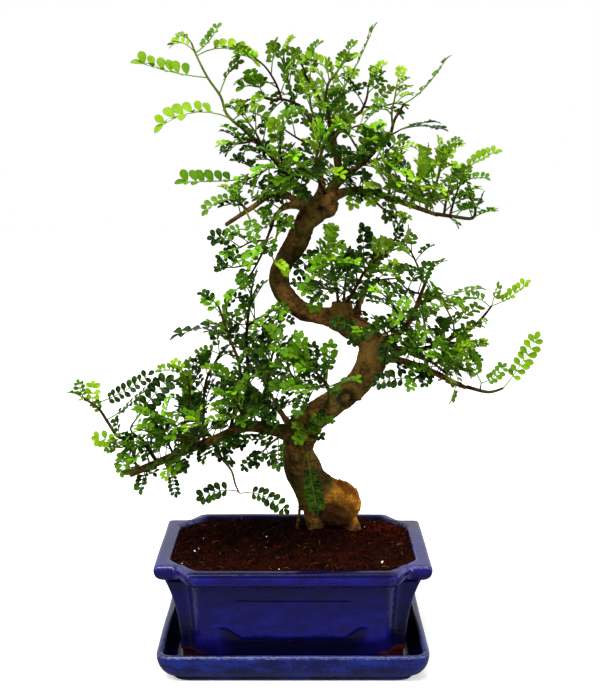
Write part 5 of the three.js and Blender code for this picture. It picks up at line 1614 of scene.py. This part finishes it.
def spur_leaves(draw):
    """Short leaves on the branches' bark, gathered under the spray whose foot is nearest."""
    gathered = {name: [] for name, _ in SPRAYS}
    feet = [(name, Vector(seen_at(*twigs[0][4][0]))) for name, twigs in SPRAYS]
    for branch, first, last, count, leaf_length in SPURS:
        line = [p[:3] for p in BRANCHES[branch]]
        radius = BRANCHES[branch][-1][3]
        for k in range(count):
            at, along = point_on_line(line, between(first, last, (k + draw() * 0.8) / count))
            aside = along.cross(UP).normalized()
            aside.rotate(Quaternion(along, draw() * 2 * math.pi))
            aside = (aside + Vector((0, -0.7, 0.3))).normalized()
            aim = (aside + along * (draw() - 0.4) + UP * 0.25).normalized()
            base = at + aside * radius * 0.7
            length = leaf_length * (0.6 + 0.7 * draw())
            nearest = min(feet, key=lambda foot: (foot[1] - at).length)[0]
            gathered[nearest].append({
                "base": base,
                "tip": base + aim * length,
                "arch": length * 0.08,
                "pairs": max(2, round(length / PAIR_SPACING)),
                "facing": outward(at) * (0.2 + 0.7 * draw()) + UP,
                "fold": RULE_FOLD,
                "age": 0.3 + 0.5 * draw(),
                "light": 0.25 * sunlit(at),
            })
    return gathered


# Half widths of a leaflet at each station from its root to its rounded tip, as shares of its length
LEAFLET_STATIONS = [
    (0.0, 0.0), (0.14, 0.13), (0.36, 0.27), (0.62, 0.34), (0.83, 0.27), (0.95, 0.13), (1.0, 0.0),
]
LEAFLET_THICKNESS = 0.28
FIRST_PAIR = 0.22
LAST_PAIR = 0.95
LEAFLET_SPREAD = 1.12
LONGEST_LEAFLET = 9


class Growth:
    """The points, faces and looks of one spray while it is built."""

    def __init__(self):
        self.points, self.faces, self.looks, self.kinds = [], [], [], []

    def add_tube(self, line, sides, kind, tone):
        start = len(self.points)
        count = len(self.faces)
        tube(line, sides, 0.0, self.points, self.faces)
        self.looks.extend([(tone, 0.0, 0.0, 0.0)] * (len(self.points) - start))
        self.kinds.extend([kind] * (len(self.faces) - count))

    def add_leaflet(self, root, along, normal, length, droop, fold, kind, tone):
        """A thin closed blade, folded up a little along its midrib and bent down towards its tip."""
        across = along.cross(normal).normalized()
        start = len(self.points)
        for sheet in (1, -1):
            for s, half in LEAFLET_STATIONS:
                middle = root + along * (s * length) - normal * (droop * s * s * length)
                middle += normal * (sheet * LEAFLET_THICKNESS / 2)
                sides = (0,) if half == 0 else (-1, 0, 1)
                for side in sides:
                    lift = normal * (abs(side) * half * length * fold)
                    self.points.append(middle + across * (side * half * length) + lift)
                    edge = 1.0 if side or half == 0 else 0.0
                    self.looks.append((tone, 0.0 if sheet > 0 else 1.0, edge, s))
        per_sheet = 3 * (len(LEAFLET_STATIONS) - 2) + 2
        tip = per_sheet - 1
        outline = [0] + [1 + 3 * k for k in range(len(LEAFLET_STATIONS) - 2)] + [tip]
        outline += [3 + 3 * k for k in reversed(range(len(LEAFLET_STATIONS) - 2))]
        sheet_faces = [(0, 2, 1), (0, 3, 2)]
        for k in range(len(LEAFLET_STATIONS) - 3):
            a = 1 + 3 * k
            sheet_faces += [(a, a + 1, a + 4, a + 3), (a + 1, a + 2, a + 5, a + 4)]
        sheet_faces += [(tip - 3, tip - 2, tip), (tip - 2, tip - 1, tip)]
        for face in sheet_faces:
            self.faces.append(tuple(start + i for i in face))
            self.faces.append(tuple(start + per_sheet + i for i in reversed(face)))
        for i, here in enumerate(outline):
            beside = outline[(i + 1) % len(outline)]
            a, b = start + here, start + beside
            self.faces.append((b, a, a + per_sheet, b + per_sheet))
        self.kinds.extend([kind] * (2 * len(sheet_faces) + len(outline)))

    def add_leaf(self, leaf, kind, vary):
        """A compound leaf: its arched stalk, its pairs of leaflets and the one at its tip."""
        span = leaf["tip"] - leaf["base"]
        length = span.length
        bend = leaf["base"] + span * 0.5 + UP * (2 * leaf["arch"])
        # Painted light: the tone is random, scaled by the light the leaf gets, and moves its colour from
        # shade to lit
        tone = max(0, vary() * 1.5 - 0.5) * leaf["light"] * 1.3
        spread = 0.12 + 0.35 * leaf["light"]

        def on_stalk(u):
            at = leaf["base"] * (1 - u) ** 2 + bend * (2 * u * (1 - u)) + leaf["tip"] * u * u
            along = (bend - leaf["base"]) * (1 - u) + (leaf["tip"] - bend) * u
            return at, along.normalized()

        pitch = (LAST_PAIR - FIRST_PAIR) / (leaf["pairs"] + 0.6)
        swelling = SWELL if leaf["pairs"] < CROWDED_PAIRS else CROWDED_SWELL
        size = min(LONGEST_LEAFLET, pitch * length * swelling)
        stalk_end = 1 - size * 0.95 / length
        stalk = [Vector((*on_stalk(k / 6 * stalk_end)[0], 0.5 - 0.25 * k / 6)) for k in range(7)]
        self.add_tube(stalk, 4, kind, tone * 0.6 + 0.15)
        for i in range(leaf["pairs"]):
            u = FIRST_PAIR + pitch * (i + 0.5)
            swell = 0.76 + 0.36 * math.sin(math.pi * min(1, (i + 1.2) / (leaf["pairs"] + 0.6)) * 0.8)
            for side in (-1, 1):
                at, along = on_stalk(u + (vary() - 0.5) * 0.18 * pitch)
                up = (leaf["facing"] - along * leaf["facing"].dot(along)).normalized()
                across = along.cross(up) * side
                angle = LEAFLET_SPREAD + (vary() - 0.5) * 0.3
                fold = leaf["fold"] + (vary() - 0.5) * 0.4
                out = across * math.cos(fold) + up * math.sin(fold)
                heading = (along * math.cos(angle) + out * math.sin(angle)).normalized()
                blade_up = (up * math.cos(fold) - across * math.sin(fold)) + along * ((vary() - 0.5) * 0.5)
                blade_up = (blade_up - heading * blade_up.dot(heading)).normalized()
                long = size * swell * (0.88 + 0.24 * vary())
                self.add_leaflet(at + out * 0.2, heading, blade_up, long, 0.06 + 0.16 * vary(),
                                 0.1 + 0.3 * vary(), kind, min(1, max(0, tone + (vary() - 0.45) * spread)))
        at, along = on_stalk(stalk_end)
        up = (leaf["facing"] - along * leaf["facing"].dot(along)).normalized()
        self.add_leaflet(at, along, up, size * 1.02, 0.1 + 0.2 * vary(), 0.25, kind, tone)


leaf_blade, blade_in, blade_out = begin_group(
    "leaf_blade",
    {"Shade": COLOR, "Young And Lit": COLOR, "Under": COLOR, "Tone": NUMBER, "Underside": NUMBER, "Rib": NUMBER},
    {"Color": COLOR, "Roughness": NUMBER, "Height": NUMBER},
)
blade_place = object_place(leaf_blade)
blade_noise = noise_mask(leaf_blade, blade_place, 420.0)
oil_dots = add_node(leaf_blade, "ShaderNodeTexVoronoi", {"Vector": blade_place, "Scale": 1500.0}).outputs[0]
blade_mottle = band(leaf_blade, blade_noise, 0.3, 0.7, -0.04, 0.08)
blade_tone = math_node(leaf_blade, "ADD", blade_in["Tone"], blade_mottle)
upper = mix_colors(leaf_blade, blade_tone, blade_in["Shade"], blade_in["Young And Lit"])
midrib = times(leaf_blade, band(leaf_blade, blade_in["Rib"], 0.22, 0.0), 0.3)
ribbed = mix_colors(leaf_blade, midrib, upper, blade_in["Under"])
dot_share = band(leaf_blade, oil_dots, 0.22, 0.12, 0.0, 0.04)
dotted_blade = mix_colors(leaf_blade, dot_share, ribbed, blade_in["Under"])
under_share = times(leaf_blade, blade_in["Underside"], 0.7)
blade_color = mix_colors(leaf_blade, under_share, dotted_blade, blade_in["Under"])
blade_roughness = math_node(leaf_blade, "ADD", times(leaf_blade, blade_in["Underside"], 0.2),
                            band(leaf_blade, blade_noise, 0.3, 0.7, 0.3, 0.45))
blade_height = math_node(leaf_blade, "SUBTRACT", blade_noise, times(leaf_blade, midrib, 1.2))
leaf_blade.links.new(blade_color, blade_out["Color"])
leaf_blade.links.new(blade_roughness, blade_out["Roughness"])
leaf_blade.links.new(blade_height, blade_out["Height"])
# Each leaf colour runs with its tone from the shade colour to the young and lit one, so it paints light and
# shade
LEAF_COLORS = {
    DARK: {
        "Shade": (0.001, 0.007, 0.0004, 1),
        "Young And Lit": (0.17, 0.43, 0.005, 1),
        "Under": (0.045, 0.13, 0.005, 1),
    },
    LIME: {
        "Shade": (0.05, 0.14, 0.002, 1),
        "Young And Lit": (0.21, 0.37, 0.006, 1),
        "Under": (0.14, 0.24, 0.02, 1),
    },
}
leaf_materials = {}
for kind, colors in LEAF_COLORS.items():
    leaf_materials[kind], leaf_tree, leaf_shader = new_material(kind, Specular_IOR_Level=0.06)
    leaf_marks = add_node(leaf_tree, "ShaderNodeSeparateColor", {
        "Color": add_node(leaf_tree, "ShaderNodeAttribute", attribute_name="leaf_marks").outputs["Color"],
    })
    blade = add_node(leaf_tree, "ShaderNodeGroup", {
        "Tone": leaf_marks.outputs["Red"],
        "Underside": leaf_marks.outputs["Green"],
        "Rib": leaf_marks.outputs["Blue"],
        **colors,
    }, node_tree=leaf_blade)
    leaf_tree.links.new(blade.outputs["Color"], leaf_shader.inputs["Base Color"])
    leaf_tree.links.new(blade.outputs["Roughness"], leaf_shader.inputs["Roughness"])
    add_relief(leaf_tree, leaf_shader, blade.outputs["Height"], 0.12, 0.0004)

TWIG_COLORS = {
    DARK: {"Light": (0.05, 0.024, 0.008, 1), "Dark": (0.012, 0.006, 0.002, 1)},
    LIME: {"Light": (0.13, 0.2, 0.015, 1), "Dark": (0.05, 0.06, 0.006, 1)},
}
twig_materials = {}
for kind, colors in TWIG_COLORS.items():
    twig_name = kind.replace("leaf", "twig")
    twig_materials[kind], twig_tree, twig_shader = new_material(twig_name, Roughness=0.6,
                                                                Specular_IOR_Level=0.03)
    twig_coat = add_node(twig_tree, "ShaderNodeGroup", {
        "Lichen": (0.05, 0.07, 0.008, 1),
        "Lichen Amount": 0.5,
        **colors,
    }, node_tree=bark)
    twig_tree.links.new(twig_coat.outputs["Color"], twig_shader.inputs["Base Color"])
    add_relief(twig_tree, twig_shader, twig_coat.outputs["Height"], 0.3, 0.0005)

SPRAY_MATERIALS = [twig_materials[DARK], twig_materials[LIME], leaf_materials[DARK], leaf_materials[LIME]]
TWIG_KIND = {DARK: 0, LIME: 1}
LEAF_KIND = {DARK: 2, LIME: 3}
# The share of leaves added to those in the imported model, where a spray is thinner or thicker than most
EXTRA_LEAVES = 0.8
EXTRA_SHARES = {
    "left_low_shoot": 0.2, "left_hanging": 0.1, "far_left": 0.4, "far_left_low": 0.2,
    "low_pad_front_left": 0.4, "right_inner": 0.3, "right_shoot": 0.3, "crown_right": 0.4,
    "pad_right_under": 0.2, "crown_left": 0.5, "right_mid_tip": 0.5, "pad_right_crown": 0.6,
    "left_hanging_right": 0.5, "low_pad_under": 0.5,
    "low_front": 1.9, "low_pad_inner": 2.0, "low_back": 1.8, "low_pad_rise_mid": 1.5, "stub_left": 1.8,
    "right_mid_low": 0.4, "right_upright": 0.6, "right_up_front": 0.5, "right_low_mid": 0.5,
    "stub_right": 1.2, "stub_back": 1.6, "low_pad_tall": 1.4, "low_pad_tall_left": 1.2,
}
EXTRA_LENGTH = 0.85
LOW_REACH = (0.1, 0.9)
WOODY_RADIUS = 1.5
# The share of a twig's own leaves that are lime, on old dark growth and on young growth
LIME_SHARE = {DARK: (0.06, 0.5), LIME: (0.45, 0.95)}
spurs = spur_leaves(seeded_draws(31))
for number, (name, twigs) in enumerate(SPRAYS):
    growth = Growth()
    for branch, (kind, radius, leaf_count, leaf_length, spots, placed) in enumerate(twigs):
        line = [seen_at(*spot) for spot in spots]
        last = len(line) - 1
        taper = [(*p, radius * (1 - 0.45 * i / last)) for i, p in enumerate(line)]
        twig_kind = TWIG_KIND[DARK if radius >= WOODY_RADIUS else kind]
        growth.add_tube(flowing_line(taper, 4), 6, twig_kind, 0.0)
        vary = seeded_draws(9000 + 100 * number + branch)
        leaves = placed_leaves(line, placed)
        leaves += rule_leaves(leaf_count, leaf_length, line, seeded_draws(100 * number + branch + 1))
        leaves += spurs[name] if branch == 0 else []
        extra_count = round(leaf_count * EXTRA_SHARES.get(name, EXTRA_LEAVES))
        leaves += rule_leaves(extra_count, leaf_length * EXTRA_LENGTH, line, vary, math.pi, LOW_REACH)
        for leaf in leaves:
            leaf_kind = kind
            if leaf["age"] is not None:
                # Lime is likelier where sunlit() gives more light, so the lime leaves also paint light
                lime_share = between(*LIME_SHARE[kind], leaf["age"] ** 2) * sunlit(leaf["base"])
                leaf_kind = LIME if vary() < lime_share else DARK
            growth.add_leaf(leaf, LEAF_KIND[leaf_kind], vary)
    spray = make_piece("leafy_" + name, growth.points, growth.faces, SPRAY_MATERIALS)
    spray.data.polygons.foreach_set("material_index", growth.kinds)
    marks_flat = [value for look in growth.looks for value in look]
    spray.data.attributes.new("leaf_marks", "FLOAT_COLOR", "POINT").data.foreach_set("color", marks_flat)
    spray.data.set_sharp_from_angle(angle=math.radians(55))
    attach(spray, "root")
    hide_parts("spray_" + name)
